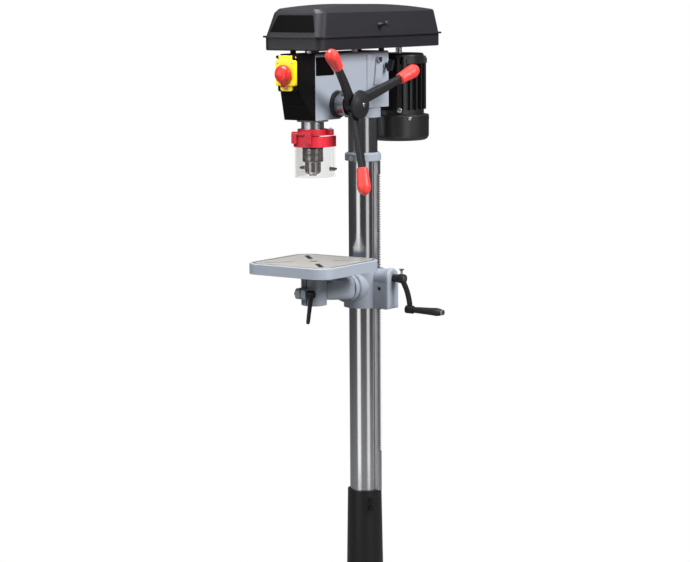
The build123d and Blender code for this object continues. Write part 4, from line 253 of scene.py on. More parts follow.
class Finish(Wiring):
    """A material on Object coordinates, with its edges rounded by a bevelled normal."""

    round_edge = 0.0006  # metres

    def __init__(self, name):
        self.material = bpy.data.materials.new(name)
        self.material.use_nodes = True
        super().__init__(self.material.node_tree)
        self.shader = self.tree.nodes["Principled BSDF"]
        self.place = self.node("TexCoord", out="Object")
        self.rounded = self.node("Bevel", {"samples": 4}, {"Radius": self.round_edge})

    def set(self, **values):
        """Sets the shader's sockets, named with underscores for spaces."""
        for key, value in values.items():
            self.feed(self.shader.inputs[key.replace("_", " ")], value)

    def axes(self):
        """x, y and z of the place on the part, in metres."""
        split = self.node("SeparateXYZ", inputs={"Vector": self.place}).socket.node
        return [Value(self, socket) for socket in split.outputs]

    def stretched(self, x, y, z):
        """The place scaled by x, y and z, for a pattern that runs along one axis."""
        return self.node("Mapping", inputs={"Vector": self.place, "Scale": (x, y, z)})

    def noise(self, scale, detail=2.0, rough=0.5, vector=None):
        inputs = {"Vector": vector or self.place, "Scale": scale, "Detail": detail, "Roughness": rough}
        return self.node("TexNoise", inputs=inputs)

    def cells(self, scale):
        """Distance to the nearest of scattered points."""
        return self.node("TexVoronoi", inputs={"Vector": self.place, "Scale": scale})

    def mix(self, share, first, second):
        """Colour that goes from first to second as share goes from 0 to 1."""
        keyed = {0: share, 6: self.colour(first), 7: self.colour(second)}
        return self.node("Mix", {"data_type": "RGBA"}, keyed, out=2)

    def colour(self, value):
        return value if isinstance(value, Value) else (*value[:3], 1.0)

    def bump(self, height, strength, distance):
        """Normal of a surface raised by height, up to distance in metres."""
        inputs = {"Height": height, "Strength": strength, "Distance": distance, "Normal": self.rounded}
        return self.node("Bump", inputs=inputs)

    def edges(self, radius):
        """0 on flat faces, rising to about 1 on edges within radius, from a bevelled normal."""
        soft = self.node("Bevel", {"samples": 4}, {"Radius": radius})
        hard = self.node("NewGeometry", out="Normal")
        return (1 - self.dot(soft, hard)).between(0.02, 0.25)


def shade(colour, factor):
    """The colour made lighter or darker by a factor, kept within 1."""
    return tuple(min(1.0, c * factor) for c in colour[:3])


def painted(name, colour, rough, peel=0.25, grain=900.0, wear=0.25, gloss=0.5):
    """Paint on metal: orange peel from fine noise, slow tone drift, roughness drift and paler edges."""
    f = Finish(name)
    drift = f.noise(7.0, 3.0)
    fine = f.noise(grain, 2.0)
    smear = f.noise(38.0, 4.0, 0.6)
    base = f.mix(drift, shade(colour, 0.93), shade(colour, 1.06))
    worn = f.edges(0.0012) * smear.between(0.42, 0.72) * wear
    base = f.mix(worn, base, shade(colour, 1.9))
    f.set(Base_Color=base, Roughness=rough - 0.06 + 0.12 * smear, Normal=f.bump(fine, peel, 0.0004))
    f.set(Specular_IOR_Level=gloss)
    return f.material


def cast_enamel(name, colour):
    """Enamel over cast iron: a lumpy skin, pores filled by paint, and dust in the drift of the tone."""
    f = Finish(name)
    lumps = f.noise(120.0, 3.0, 0.55)
    sand = f.noise(620.0, 2.0)
    drift = f.noise(5.0, 3.0)
    worn = f.edges(0.0016) * f.noise(52.0, 4.0, 0.6).between(0.45, 0.75) * 0.3
    base = f.mix(drift, shade(colour, 0.92), shade(colour, 1.05))
    base = f.mix(worn, base, shade(colour, 1.5))
    relief = lumps * 0.7 + sand * 0.3
    f.set(Base_Color=base, Roughness=0.36 + 0.14 * sand, Normal=f.bump(relief, 0.22, 0.0009))
    f.set(Coat_Weight=0.12, Coat_Roughness=0.22)
    return f.material


def moulded(name, colour, rough, grain=1500.0, relief=0.2, coat=0.0, gloss=0.5):
    """Moulded plastic: a fine spark-eroded grain, slight flow marks and scuffs that dull the gloss."""
    f = Finish(name)
    pebble = f.cells(grain)
    scuff = f.noise(60.0, 5.0, 0.65).between(0.5, 0.8)
    flow = f.noise(11.0, 2.0)
    base = f.mix(flow, shade(colour, 0.92), shade(colour, 1.07))
    f.set(Base_Color=base, Roughness=rough + 0.12 * scuff, Normal=f.bump(pebble, relief, 0.00025))
    f.set(Coat_Weight=coat, Coat_Roughness=0.12, Specular_IOR_Level=gloss)
    return f.material


def turned_steel(name, colour, rough, along="Z"):
    """Machined steel: fine rings across its axis, broken up by noise, with faint oil stains."""
    f = Finish(name)
    lines, oil = 2600.0, 0.35
    spread = {"X": (lines, 6, 6), "Z": (6, 6, lines)}[along]
    rings = f.noise(1.0, 2.0, 0.6, f.stretched(*spread))
    stain = f.noise(24.0, 4.0, 0.6).between(0.5, 0.8)
    base = f.mix(rings, shade(colour, 0.86), shade(colour, 1.08))
    base = f.mix(stain * oil, base, shade(colour, 0.62))
    f.set(Base_Color=base, Metallic=1.0, Roughness=rough - 0.05 + 0.1 * rings + 0.1 * stain)
    f.set(Normal=f.bump(rings, 0.12, 0.0002))
    return f.material


def column_steel(name, colour):
    """Ground column: fine grinding rings, long faint streaks down its length and a drift of oil film."""
    f = Finish(name)
    rings = f.noise(1.0, 2.0, 0.6, f.stretched(9, 9, 2400))
    streak = f.noise(1.0, 3.0, 0.6, f.stretched(260, 260, 2.2))
    film = f.noise(9.0, 4.0, 0.6).between(0.45, 0.8)
    base = f.mix(streak, shade(colour, 0.82), shade(colour, 1.06))
    base = f.mix(film * 0.25, base, shade(colour, 0.7))
    f.set(Base_Color=base, Metallic=1.0, Roughness=0.12 + 0.04 * rings + 0.06 * film)
    f.set(Normal=f.bump(rings, 0.2, 0.0002))
    return f.material


def ground_table(name, top, side):
    """Table: a ground iron top with straight passes and oil marks inside its rim, over enamelled sides, with
    painted shade that darkens the slots and the trough inside the rim nearly to black.
    """
    f = Finish(name)
    x, y, z = f.axes()
    low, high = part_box("work_table")
    half, corner, wall, skin, slot_depth = high.x, 0.04, 0.006, 0.0013, 0.02
    past_x = (abs(x) - (half - corner)).at_least(0.0)
    past_y = (abs(y - (low.y + high.y) / 2) - (half - corner)).at_least(0.0)
    inside = 1 - ((past_x * past_x + past_y * past_y) ** 0.5).above(corner - wall)
    level = z.above(high.z - skin)
    deck = level * inside
    # Recessed faces inside the rim, below the ground top: these get painted shade
    shaded_recess = z.above(high.z - slot_depth) * (1 - level)
    passes = f.noise(1.0, 2.0, 0.6, f.stretched(1600, 14, 14))
    pores = f.noise(900.0, 3.0, 0.6)
    stain = f.noise(16.0, 5.0, 0.6).between(0.48, 0.82)
    iron = f.mix(passes, shade(top, 0.86), shade(top, 1.06))
    iron = f.mix(stain * 0.4, iron, shade(top, 0.66))
    lumps = f.noise(140.0, 3.0, 0.5)
    paint = f.mix(f.noise(6.0, 3.0), shade(side, 0.92), shade(side, 1.05))
    rub = f.edges(0.0015) * f.noise(60.0, 4.0, 0.6).between(0.35, 0.7)
    paint = f.mix(rub * 0.6, paint, top)
    # Painted shade: the slot and trough faces inside the rim are darkened nearly to black, where shade falls
    paint = f.mix(shaded_recess * inside, paint, shade(top, 0.12))
    f.set(Base_Color=f.mix(deck, paint, iron), Metallic=deck * 0.55)
    f.set(Roughness=(1 - deck) * (0.38 + 0.1 * lumps) + deck * (0.34 + 0.12 * passes + 0.1 * stain))
    f.set(Normal=f.bump((1 - deck) * lumps + deck * (passes * 0.25 + pores * 0.2), 0.25, 0.0006))
    return f.material


def polished(name, colour, rough, grooves=(), black_below=0.0):
    """Plated steel: bright, with scratches, fingerprints, near-black bands of painted shade for grooves at
    some heights, and a black foot.
    """
    f = Finish(name)
    groove = 0.0014
    scratch = f.noise(1.0, 3.0, 0.7, f.stretched(900, 900, 90)).between(0.55, 0.75)
    prints = f.noise(70.0, 4.0, 0.6).between(0.5, 0.8)
    base = f.mix(prints * 0.3, colour, shade(colour, 0.8))
    z = f.axes()[2]
    # Painted shade: each groove is a near-black band in the colour, not a cut in the shape
    for height in grooves:
        base = f.mix(1 - abs(z - height).above(groove), base, shade(colour, 0.04))
    base = f.mix(z.above(black_below), shade(colour, 0.05), base)
    f.set(Base_Color=base, Metallic=1.0, Roughness=rough + 0.08 * scratch + 0.1 * prints)
    return f.material


def clear_sheet(name):
    """Clear moulded sheet: see-through, with faint scuffs that catch the light and paler cut edges."""
    f = Finish(name)
    scuff = f.noise(1.0, 4.0, 0.65, f.stretched(240, 240, 60)).between(0.5, 0.78)
    rim = abs(f.dot(f.node("NewGeometry", out="Normal"), (0, 0, 1))).above(0.7)
    f.set(Base_Color=(0.2, 0.18, 0.16, 1.0), Roughness=0.06 + 0.14 * scuff)
    f.set(Alpha=0.07 + 0.04 * scuff + 0.25 * rim, Specular_IOR_Level=0.4)
    f.material.surface_render_method = "DITHERED"
    return f.material


def belt_rubber(name):
    """Belt: fabric-backed rubber with a cross weave worn smooth in places."""
    f = Finish(name)
    weave = f.noise(1.0, 2.0, 0.5, f.stretched(1400, 1400, 500))
    dust = f.noise(40.0, 4.0, 0.6).between(0.5, 0.8)
    base = f.mix(dust * 0.4, (0.012, 0.012, 0.013), (0.06, 0.058, 0.055))
    f.set(Base_Color=base, Roughness=0.72 + 0.15 * weave, Normal=f.bump(weave, 0.4, 0.0004))
    return f.material


def dress(finish, *names):
    """Gives a finish to CAD parts, in every material slot that they have."""
    for name in names:
        mesh = nodes[name].data
        mesh.materials.clear()
        mesh.materials.append(finish)


class DRILL_OT_stage(bpy.types.Operator):
    """Floor, lamps, sky and camera"""

    bl_idname = "drill.stage"
    bl_label = "Stage"

    def execute(self, context):
        sizes = context.scene.drill_sizes
        self.lay_floor(sizes)
        self.hang_lamps()
        self.light_sky(context.scene)
        self.place_camera(context.scene, sizes)
        context.scene.view_settings.view_transform = "Standard"
        return {"FINISHED"}

    def lay_floor(self, sizes):
        """Disc of rings: radius grows with the square of the ring's number."""
        rings, spokes = 24, 96
        radius = sizes.floor_radius * np.linspace(0.02, 1, rings) ** 2
        out, _ = around(-circle(spokes), x_axis, y_axis)
        floor = surface("floor", radius[:, None, None] * out, close_v=True, cap_start=True)
        f = Finish("floor")
        x, y, _ = f.axes()
        far = ((x * x + y * y) ** 0.5).between(0.3, 0.7)
        seen = f.ray("Camera") + f.ray("Transmission")
        pale = f.mix(f.noise(220.0, 3.0), [0.78] * 3, [0.82] * 3)
        f.set(Base_Color=f.mix(seen, [0.18] * 3, pale), Roughness=0.85)
        white = f.node("Emission", inputs={"Color": (1, 1, 1, 1), "Strength": 1.0})
        lit = Value(f, f.shader.outputs[0])
        both = f.node("MixShader", inputs={0: far * seen, 1: lit, 2: white})
        f.feed(f.tree.nodes["Material Output"].inputs["Surface"], both)
        floor.data.materials.append(f.material)

    def hang_lamps(self):
        """Lamps that light the part, and tall strips that only its shiny surfaces see."""
        lamps = (
            ("key", (0.35, -3.7, 3.6), (0, -0.1, 1.1), 1.7, 1.8, 112, "diffuse"),
            ("fill", (3.05, 0.2, 3.2), (0, 0, 1.3), 1.4, 1.6, 205, "diffuse"),
            ("top", (-0.1, -0.9, 3.6), (0, -0.15, 1.0), 1.8, 1.8, 110, "both"),
            ("back", (-2.6, 1.8, 2.2), (0, 0, 1.1), 1.0, 2.4, 40, "diffuse"),
            ("front_sheen", (-1.5, -2.1, 1.8), (0, -0.3, 1.5), 0.9, 1.1, 8, "glossy"),
            ("right_sheen", (2.6, 0.4, 2.2), (0, 0, 1.3), 1.2, 1.2, 16, "glossy"),
            ("left_strip", (-0.13, -1.49, 1.22), (0, 0, 1.22), 0.72, 2.36, 7, "glossy"),
            ("right_strip", (1.40, -0.54, 1.22), (0, 0, 1.22), 0.6, 2.36, 4, "glossy"),
        )
        for name, place, aim, width, height, watts, seen_by in lamps:
            lamp = bpy.data.lights.new(name, "AREA")
            lamp.shape = "RECTANGLE"
            lamp.size, lamp.size_y, lamp.energy = width, height, watts
            holder = bpy.data.objects.new(name, lamp)
            holder.location = place
            holder.rotation_euler = (Vector(aim) - Vector(place)).to_track_quat("-Z", "Y").to_euler()
            holder.visible_camera = False
            holder.visible_diffuse = seen_by != "glossy"
            holder.visible_glossy = seen_by != "diffuse"
            bpy.context.scene.collection.objects.link(holder)

    def light_sky(self, scene):
        """White to the camera, an even pale sky to matt surfaces, and a darker room to shiny ones.

        The room is dim, brighter overhead, so that polished steel keeps dark bands between the lamps.
        """
        world = bpy.data.worlds.new("sky")
        world.use_nodes = True
        scene.world = world
        w = Wiring(world.node_tree)
        up = w.dot(w.node("TexCoord", out="Generated"), (0, 0, 1))
        room = 0.09 + 0.5 * up.between(0.2, 0.9)
        shiny = w.ray("Glossy")
        strength = shiny * room + (1 - shiny) * 0.2
        sky = w.node("Background", inputs={"Color": (0.94, 0.96, 1.0, 1.0), "Strength": strength})
        white = w.node("Background", inputs={"Color": (1, 1, 1, 1)})
        seen = w.ray("Camera") + w.ray("Transmission")
        both = w.node("MixShader", inputs={0: seen, 1: sky, 2: white})
        w.feed(w.tree.nodes["World Output"].inputs["Surface"], both)

    def place_camera(self, scene, sizes):
        right, away = around(sizes.camera_turn, x_axis, y_axis)
        place = Vector(z_axis * sizes.camera_height - away * sizes.camera_distance)
        aim = Vector(z_axis * sizes.aim_height - right * sizes.aim_left)
        lens = bpy.data.cameras.new("camera")
        lens.sensor_fit = "HORIZONTAL"
        lens.lens = sizes.camera_lens
        lens.clip_end = 60
        camera = bpy.data.objects.new("camera", lens)
        facing = (aim - place).to_track_quat("-Z", "Y").to_matrix().to_4x4()
        camera.matrix_world = Matrix.Translation(place) @ facing @ Matrix.Rotation(sizes.camera_roll, 4, "Z")
        scene.collection.objects.link(camera)
        scene.camera = camera


def circle(count):
    """Angles of points evenly round a circle."""
    return np.linspace(0, 2 * np.pi, count, endpoint=False)


def around(angle, first, second):
    """Directions at angles from first towards second, and the directions across them."""
    cosine, sine = np.cos(angle)[..., None], np.sin(angle)[..., None]
    return cosine * first + sine * second, cosine * second - sine * first


def sweep(spine, half, across, depth, out, count):
    """Rings along a spine, each a superellipse |u|^4 + |v|^4 = 1, scaled by half across and by depth out."""
    u, v = (np.sign(w) * abs(w) ** 0.5 for w in (np.cos(circle(count)), np.sin(circle(count))))
    return spine[:, None] + half[:, None, None] * u[:, None] * across + depth * v[:, None] * out


def corners(node):
    """Lowest and highest corner of a CAD part's box."""
    return [np.array(corner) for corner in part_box(node)]


def middle(node):
    """Middle of a CAD part's box."""
    return sum(corners(node)) / 2


def surface(name, grid, close_v=False, cap_start=False, cap_end=False, cap_rim=False):
    """Mesh from a grid of points, or a stack of grids: quads join neighbours.

    Its columns can be closed to a loop, its first and last rows capped, or its whole rim.
    """
    stack = grid.reshape(-1, *grid.shape[-3:])
    rows, columns = stack.shape[1:3]
    faces = []
    for number in range(len(stack)):
        index = np.arange(rows * columns).reshape(rows, columns) + number * rows * columns
        if close_v:
            index = np.hstack((index, index[:, :1]))
        quads = np.stack((index[:-1, :-1], index[:-1, 1:], index[1:, 1:], index[1:, :-1]), axis=-1)
        faces += quads.reshape(-1, 4).tolist()
        if cap_start:
            faces.append(index[0, :columns][::-1].tolist())
        if cap_end:
            faces.append(index[-1, :columns].tolist())
        if cap_rim:
            rim = np.concatenate((index[0], index[1:, -1], index[-1, -2::-1], index[-2:0:-1, 0]))
            faces.append(rim[::-1].tolist())
    mesh = bpy.data.meshes.new(name)
    mesh.from_pydata(stack.reshape(-1, 3).tolist(), [], faces)
    mesh.update()
    made = bpy.data.objects.new(name, mesh)
    bpy.context.scene.collection.objects.link(made)
    return made


def tube(name, rings):
    """Closed mesh from rings of points, or from stacks of rings."""
    return surface(name, np.array(rings), close_v=True, cap_start=True, cap_end=True)


def touch(node, starts, direction):
    """Points and normals where rays from the starts meet a CAD part."""
    mesh = nodes[node].data
    tree = BVHTree.FromPolygons([v.co for v in mesh.vertices], [face.vertices for face in mesh.polygons])
    points, normals, *_ = zip(*(tree.ray_cast(Vector(start), Vector(direction)) for start in starts))
    if None in points:
        raise ValueError(f"a ray misses {node}")
    return np.array(points), np.array(normals)


def rounded(outline, radius):
    """Outline with each corner replaced by the parabola that touches both sides at radius from it."""
    outline = np.array(outline, dtype=float)
    share = np.linspace(0, 1, 6)[:, None]
    loop = []
    for before, corner, after in zip(np.roll(outline, 1, 0), outline, np.roll(outline, -1, 0)):
        start = corner + (before - corner) / np.linalg.norm(before - corner) * radius
        end = corner + (after - corner) / np.linalg.norm(after - corner) * radius
        loop.append((1 - share) ** 2 * start + 2 * share * (1 - share) * corner + share**2 * end)
    return np.vstack(loop)


def plate(name, node, outline, axis, start, thick):
    """Thin plate on a CAD part: the outline in four rings, laid on the surface and raised along its normal.

    Ring k is the outline shrunk by 0, 0, 2 and 50 percent, at heights 0, 0.6, 1 and 1 of the thickness. The
    surface is found along the axis of that number, from the start.
    """
    centre = outline.mean(axis=0)
    rings = []
    for shrink, height in ((0, 0), (0, 0.6), (0.02, 1), (0.5, 1)):
        flat = outline + (centre - outline) * shrink
        points, normals = touch(node, np.insert(flat, axis, start, axis=1), -start * np.eye(3)[axis])
        rings.append(points + normals * height * thick)
    return tube(name, rings)


def screw_heads(name, places):
    """Pan heads with a cross recess, each at a point, with its normal, radius and turn.

    The height is h(1 - crown r^4), less recess h where |u| or |v| < cross and r < arm. The square grid is
    drawn into a disc, each square ring becoming a circle. The rim drops to the seat.
    """
    rise, crown, recess, cross, arm = 0.5, 0.55, 0.35, 0.16, 0.62
    side = np.linspace(-1, 1, 25)
    u, v = np.meshgrid(side, side, indexing="ij")
    r = np.maximum(abs(u), abs(v))
    length = np.hypot(u, v)
    scale = np.divide(r, length, out=np.ones_like(length), where=length > 0)
    u, v = u * scale, v * scale
    slot = (np.minimum(abs(u), abs(v)) < cross) & (r < arm)
    height = 1 - crown * r**4 - recess * slot
    height[r == 1] = 0
    heads = []
    for point, normal, radius, turn in places:
        normal = Vector(normal).normalized()
        right = normal.orthogonal().normalized()
        right.rotate(Matrix.Rotation(turn, 3, normal))
        up = right.cross(normal)
        across = u[..., None] * np.array(right) + v[..., None] * np.array(up)
        above = rise * height[..., None] * np.array(normal)
        heads.append(np.array(point) + radius * (across + above))
    return surface(name, np.array(heads), cap_rim=True)


def ticks(name, starts, along, across, out, sizes):
    """Raised scale lines: a bar at each start, with its length, width and height along three vectors."""
    square = np.array(((0, -0.5), (0, 0.5), (1, 0.5), (1, -0.5)))
    bars = []
    for start, long, wide, high in zip(starts, along, across, out):
        foot = start + square[:, :1] * long + square[:, 1:] * wide * sizes.tick_width
        bars.append((foot - high * sizes.tick_height, foot + high * sizes.tick_height))
    return tube(name, bars)


class DRILL_OT_castings(bpy.types.Operator):
    """Enamel on the head, bracket, arm and table sides, and the ground table top"""

    bl_idname = "drill.castings"
    bl_label = "Castings"

    def execute(self, context):
        colours = context.scene.drill_colours
        dress(cast_enamel("head_enamel", colours.enamel), "head_casting", "table_bracket", "table_arm",
              "rack_collar")
        dress(ground_table("ground_table", colours.ground_iron, colours.enamel), "work_table")
        dress(cast_enamel("base_enamel", colours.base_grey), "base_plate")
        return {"FINISHED"}


class DRILL_OT_steelwork(bpy.types.Operator):
    """Column, rack, gears, quill, spindle, pulleys and fasteners"""

    bl_idname = "drill.steelwork"
    bl_label = "Steelwork"

    def execute(self, context):
        steel = context.scene.drill_colours.steel
        dress(column_steel("ground_column", steel), "column")
        turned = (
            ("cut_rack", 1.1, 0.36, "Z", "table_rack"),
            ("turned_spindle", 1, 0.26, "Z", "quill", "spindle", "quill_bearings", "sleeve_bearings"),
            ("cut_gears", 0.85, 0.32, "X", "lift_gear", "lift_worm", "feed_shaft"),
            ("turned_pulleys", 1.05, 0.3, "Z", "spindle_pulley", "idler_pulley", "motor_pulley"),
            ("idler_steel", 0.8, 0.36, "Z", "idler_arm"),
            ("scale_barrel", 0.7, 0.22, "X", "depth_ring"),
            ("blued_spring", 0.3, 0.4, "Z", "return_spring"),
        )
        for name, tone, rough, along, *parts in turned:
            dress(turned_steel(name, shade(steel, tone), rough, along), *parts)
        zinc = shade(steel, 0.9)
        dress(polished("zinc_plate", zinc, 0.22), "crank_fasteners", "feed_fasteners", "tilt_bolt",
              "guard_pin", "guard_wing_nuts")
        black_below = 0.6  # metres: the flange's bolts are black, the head's are bright
        dress(polished("frame_zinc", zinc, 0.22, black_below=black_below), "frame_fasteners")
        return {"FINISHED"}


class DRILL_OT_blackwork(bpy.types.Operator):
    """Satin black flange, crank, locks, spring cap, motor and mount"""

    bl_idname = "drill.blackwork"
    bl_label = "Black paintwork"

    def execute(self, context):
        black = context.scene.drill_colours.satin_black
        satin = painted("satin_black", black, 0.38, 0.2, 700.0, 0.2, gloss=0.35)
        dress(satin, "column_flange", "crank_arm", "column_lock", "table_lock", "motor_mount", "spring_cap")
        glossy = painted("motor_black", black, 0.34, 0.15, 900.0, 0.15, gloss=0.9)
        dress(glossy, "motor_housing", "fan_cover")
        return {"FINISHED"}


class DRILL_OT_plastics(bpy.types.Operator):
    """Moulded cover, switch base, feed arms, grips, knobs, bezel and crank grip"""

    bl_idname = "drill.plastics"
    bl_label = "Moulded parts"

    def execute(self, context):
        colours = context.scene.drill_colours
        dress(moulded("cover_black", colours.cover_black, 0.5, gloss=0.1), "front_cover", "switch_base")
        dress(moulded("arm_black", colours.arm_black, 0.38, gloss=0.3), "feed_hub", "slide_lock",
              "crank_grip", "feed_bezel", "lid_knob")
        dress(moulded("grip_red", colours.grip_red, 0.3, 1800.0, 0.08, 0.3), "feed_grips")
        return {"FINISHED"}


class DRILL_OT_chuck(bpy.types.Operator):
    """Chuck and its jaws"""

    bl_idname = "drill.chuck"
    bl_label = "Chuck"

    def execute(self, context):
        steel = context.scene.drill_colours.steel
        dress(polished("chuck_chrome", shade(steel, 0.8), 0.12), "chuck_body")
        low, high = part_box("chuck_sleeve")
        # Heights of the sleeve's grooves, which polished() paints as near-black bands of shade
        rings = [low.z + (high.z - low.z) * share for share in (0.06, 0.4, 0.74)]
        dress(polished("sleeve_chrome", shade(steel, 0.6), 0.14, rings), "chuck_sleeve")
        jaws = [f"chuck_jaw_{number}" for number in (1, 2, 3)]
        dress(turned_steel("chuck_jaws", shade(steel, 0.75), 0.3), *jaws)
        return {"FINISHED"}


class DRILL_OT_chuck_guard(bpy.types.Operator):
    """Red band and clear shield round the chuck"""

    bl_idname = "drill.chuck_guard"
    bl_label = "Chuck guard"

    def execute(self, context):
        red = context.scene.drill_colours.holder_red
        dress(moulded("guard_red", red, 0.34, 1600.0, 0.1, 0.2), "guard_collar", "guard_holder")
        dress(clear_sheet("clear_shield"), "guard_shield", "guard_extension")
        return {"FINISHED"}


class DRILL_OT_belt_guard(bpy.types.Operator):
    """Powder-coated belt guard and the belts in it"""

    bl_idname = "drill.belt_guard"
    bl_label = "Belt guard"

    def execute(self, context):
        charcoal = context.scene.drill_colours.guard_coat
        coat = painted("guard_coat", charcoal, 0.42, 0.35, 1100.0, 0.2, gloss=0.4)
        dress(coat, "guard_lid", "belt_pan")
        dress(belt_rubber("belt_rubber"), "front_belt", "rear_belt")
        return {"FINISHED"}


class DRILL_OT_switch(bpy.types.Operator):
    """Flap switch with its stop head and buttons"""

    bl_idname = "drill.switch"
    bl_label = "Switch"
    # Each ring's share of the outline and of the depth
    dome = (
        (0.93, 0), (0.98, 0.03), (1, 0.1), (1, 0.26), (0.985, 0.38), (0.95, 0.52), (0.89, 0.66),
        (0.8, 0.79), (0.68, 0.89), (0.52, 0.95), (0.34, 0.985), (0.15, 1),
    )

    def execute(self, context):
        colours = context.scene.drill_colours
        dress(moulded("switch_yellow", colours.switch_yellow, 0.32, 1800.0, 0.06, 0.25), "switch_flap")
        red = moulded("stop_red", colours.stop_red, 0.28, 1800.0, 0.06, 0.3)
        dress(red, "stop_head", "stop_button")
        knob = self.stop_knob(context.scene.drill_sizes)
        knob.data.materials.append(red)
        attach(knob, "stop_head")
        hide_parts("stop_head")
        dress(moulded("start_green", colours.start_green, 0.3, 1800.0, 0.06, 0.2), "start_button")
        return {"FINISHED"}

    def stop_knob(self, sizes):
        """Mushroom on its stem: rings with a share of the outline R(a), from the stem's end to the dome.

        R is (r^6 + (w t)^6)^(1/6), where t = min(tail / cos a, half / |sin a|) is the tab below the middle.
        Its share w falls from 1 to 0 on the way to the dome.
        """
        low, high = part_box("stop_head")
        back = low.y + sizes.knob_thick
        angle = circle(96)
        below, beside = np.cos(angle), abs(np.sin(angle)).clip(1e-3)
        tab = np.minimum(sizes.knob_tail / below.clip(1e-3), sizes.knob_tab / beside) * (below > 0)
        stem = np.full(angle.size, sizes.knob_stem)
        rows = [(high.y, stem), (back, stem)]
        for share, depth in self.dome:
            tab_share = np.interp(depth, (0.3, 0.6), (1, 0))
            outline = (sizes.knob_radius**6 + (tab_share * tab) ** 6) ** (1 / 6)
            rows.append((back - depth * sizes.knob_thick, share * outline))
        centre = middle("stop_button")[2]
        grid = [
            np.column_stack((reach * np.sin(angle), np.full(angle.size, y), centre - reach * below))
            for y, reach in rows
        ]
        made = tube("stop_knob", grid)
        made.data.shade_smooth()
        return made


def feed_axis():
    """y and z of the feed's axis, from the bezel round it."""
    return middle("feed_bezel")[1:]


class DRILL_OT_arms(bpy.types.Operator):
    """Moulded skin of the feed's three arms: a superellipse swept from hub to grip

    The half widths and the outward lean are piecewise linear in the distance from the axis.
    """

    bl_idname = "drill.arms"
    bl_label = "Feed arms"

    def execute(self, context):
        sizes = context.scene.drill_sizes
        root = np.array((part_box("depth_ring")[1].x + sizes.arm_offset, *feed_axis()))
        reach = np.linspace(sizes.arm_start, sizes.arm_reach, 28)
        knots = (sizes.arm_start, sizes.arm_elbow, sizes.arm_grip)
        lean = np.interp(reach, knots, (0.0, sizes.arm_elbow_out, sizes.arm_grip_out))
        half = np.interp(reach, knots, (sizes.arm_root, sizes.arm_bend, sizes.arm_tip)) / 2
        arms = []
        for turn in sizes.arm_turn + circle(3):
            away, across = around(turn, y_axis, z_axis)
            spine = root + reach[:, None] * away + lean[:, None] * x_axis
            arms.append(sweep(spine, half, across, sizes.arm_thick / 2, x_axis, 36))
        made = tube("feed_arms", arms)
        made.data.materials.append(nodes["feed_hub"].data.materials[0])
        made.data.shade_smooth()
        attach(made, "feed")
        return {"FINISHED"}


class DRILL_OT_levers(bpy.types.Operator):
    """Lock levers: a hexagon-headed bolt with a round hub, and a flat bar that hangs from the hub

    Bolt and hub are turned about their axis, the head's radius being a / cos(t) with t the angle from the
    middle of a flat. The bar is a superellipse that narrows evenly and closes in a half round.
    """

    bl_idname = "drill.levers"
    bl_label = "Lock levers"

    def execute(self, context):
        sizes = context.scene.drill_sizes
        finish = nodes["table_lock"].data.materials[0]
        levers = (
            ("table_lock", 0, (sizes.lever_lean, -sizes.lever_swing, -1.0), sizes.lever_root),
            ("column_lock", 1, (0.0, sizes.lever_swing, -1.0), sizes.lever_end),
        )
        for node, along, drop, root in levers:
            low, high = corners(node)
            start = middle(node)
            start[along] = low[along]
            start[2] = high[2] - sizes.lever_hub_radius
            axis = np.eye(3)[along]
            bolt = self.bolt(f"{node}_bolt", start, axis, sizes)
            foot = start + axis * (sizes.lever_head + sizes.lever_shank + sizes.lever_hub / 2)
            bar = self.bar(f"{node}_bar", foot, np.array(drop), axis, root, sizes)
            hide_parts(node)
            for made in (bolt, bar):
                made.data.materials.append(finish)
                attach(made, node)
        return {"FINISHED"}

    def bolt(self, name, start, axis, sizes):
        angle = circle(48)
        hexagon = 1 / np.cos((angle + np.pi / 6) % (np.pi / 3) - np.pi / 6)
        plain = np.ones(angle.size)
        head, neck = sizes.lever_head, sizes.lever_head + sizes.lever_shank
        end, bevel = neck + sizes.lever_hub, 0.0015
        flat, shank, wide = sizes.lever_flat, sizes.lever_bolt, sizes.lever_hub_radius
        profile = (  # place along the axis, radius and form
            (0, flat - bevel, plain), (bevel, flat, hexagon), (head, flat, hexagon), (head, shank, plain),
            (neck, shank, plain), (neck, wide - bevel, plain), (neck + bevel, wide, plain),
            (end - bevel, wide, plain), (end, wide - bevel, plain),
        )
        out, _ = around(angle, z_axis, np.cross(axis, z_axis))
        rings = [start + axis * place + out * (radius * form)[:, None] for place, radius, form in profile]
        return tube(name, rings)

    def bar(self, name, foot, drop, axis, root, sizes):
        drop = drop / np.linalg.norm(drop)
        across = np.cross(drop, axis)
        across /= np.linalg.norm(across)
        straight, round_end = 12, sizes.lever_end / 2
        reach = sizes.lever_length - round_end
        turn = np.linspace(0, 0.47 * np.pi, 7)[1:]
        place = np.concatenate((np.linspace(0, reach, straight), reach + np.sin(turn) * round_end))
        narrow = np.concatenate((np.ones(straight), np.cos(turn)))
        half = np.interp(place, (0, reach), (root / 2, round_end)) * narrow
        spine = foot + place[:, None] * drop
        made = tube(name, sweep(spine, half, across, sizes.lever_thick / 2, np.cross(drop, across), 32))
        made.data.shade_smooth()
        return made


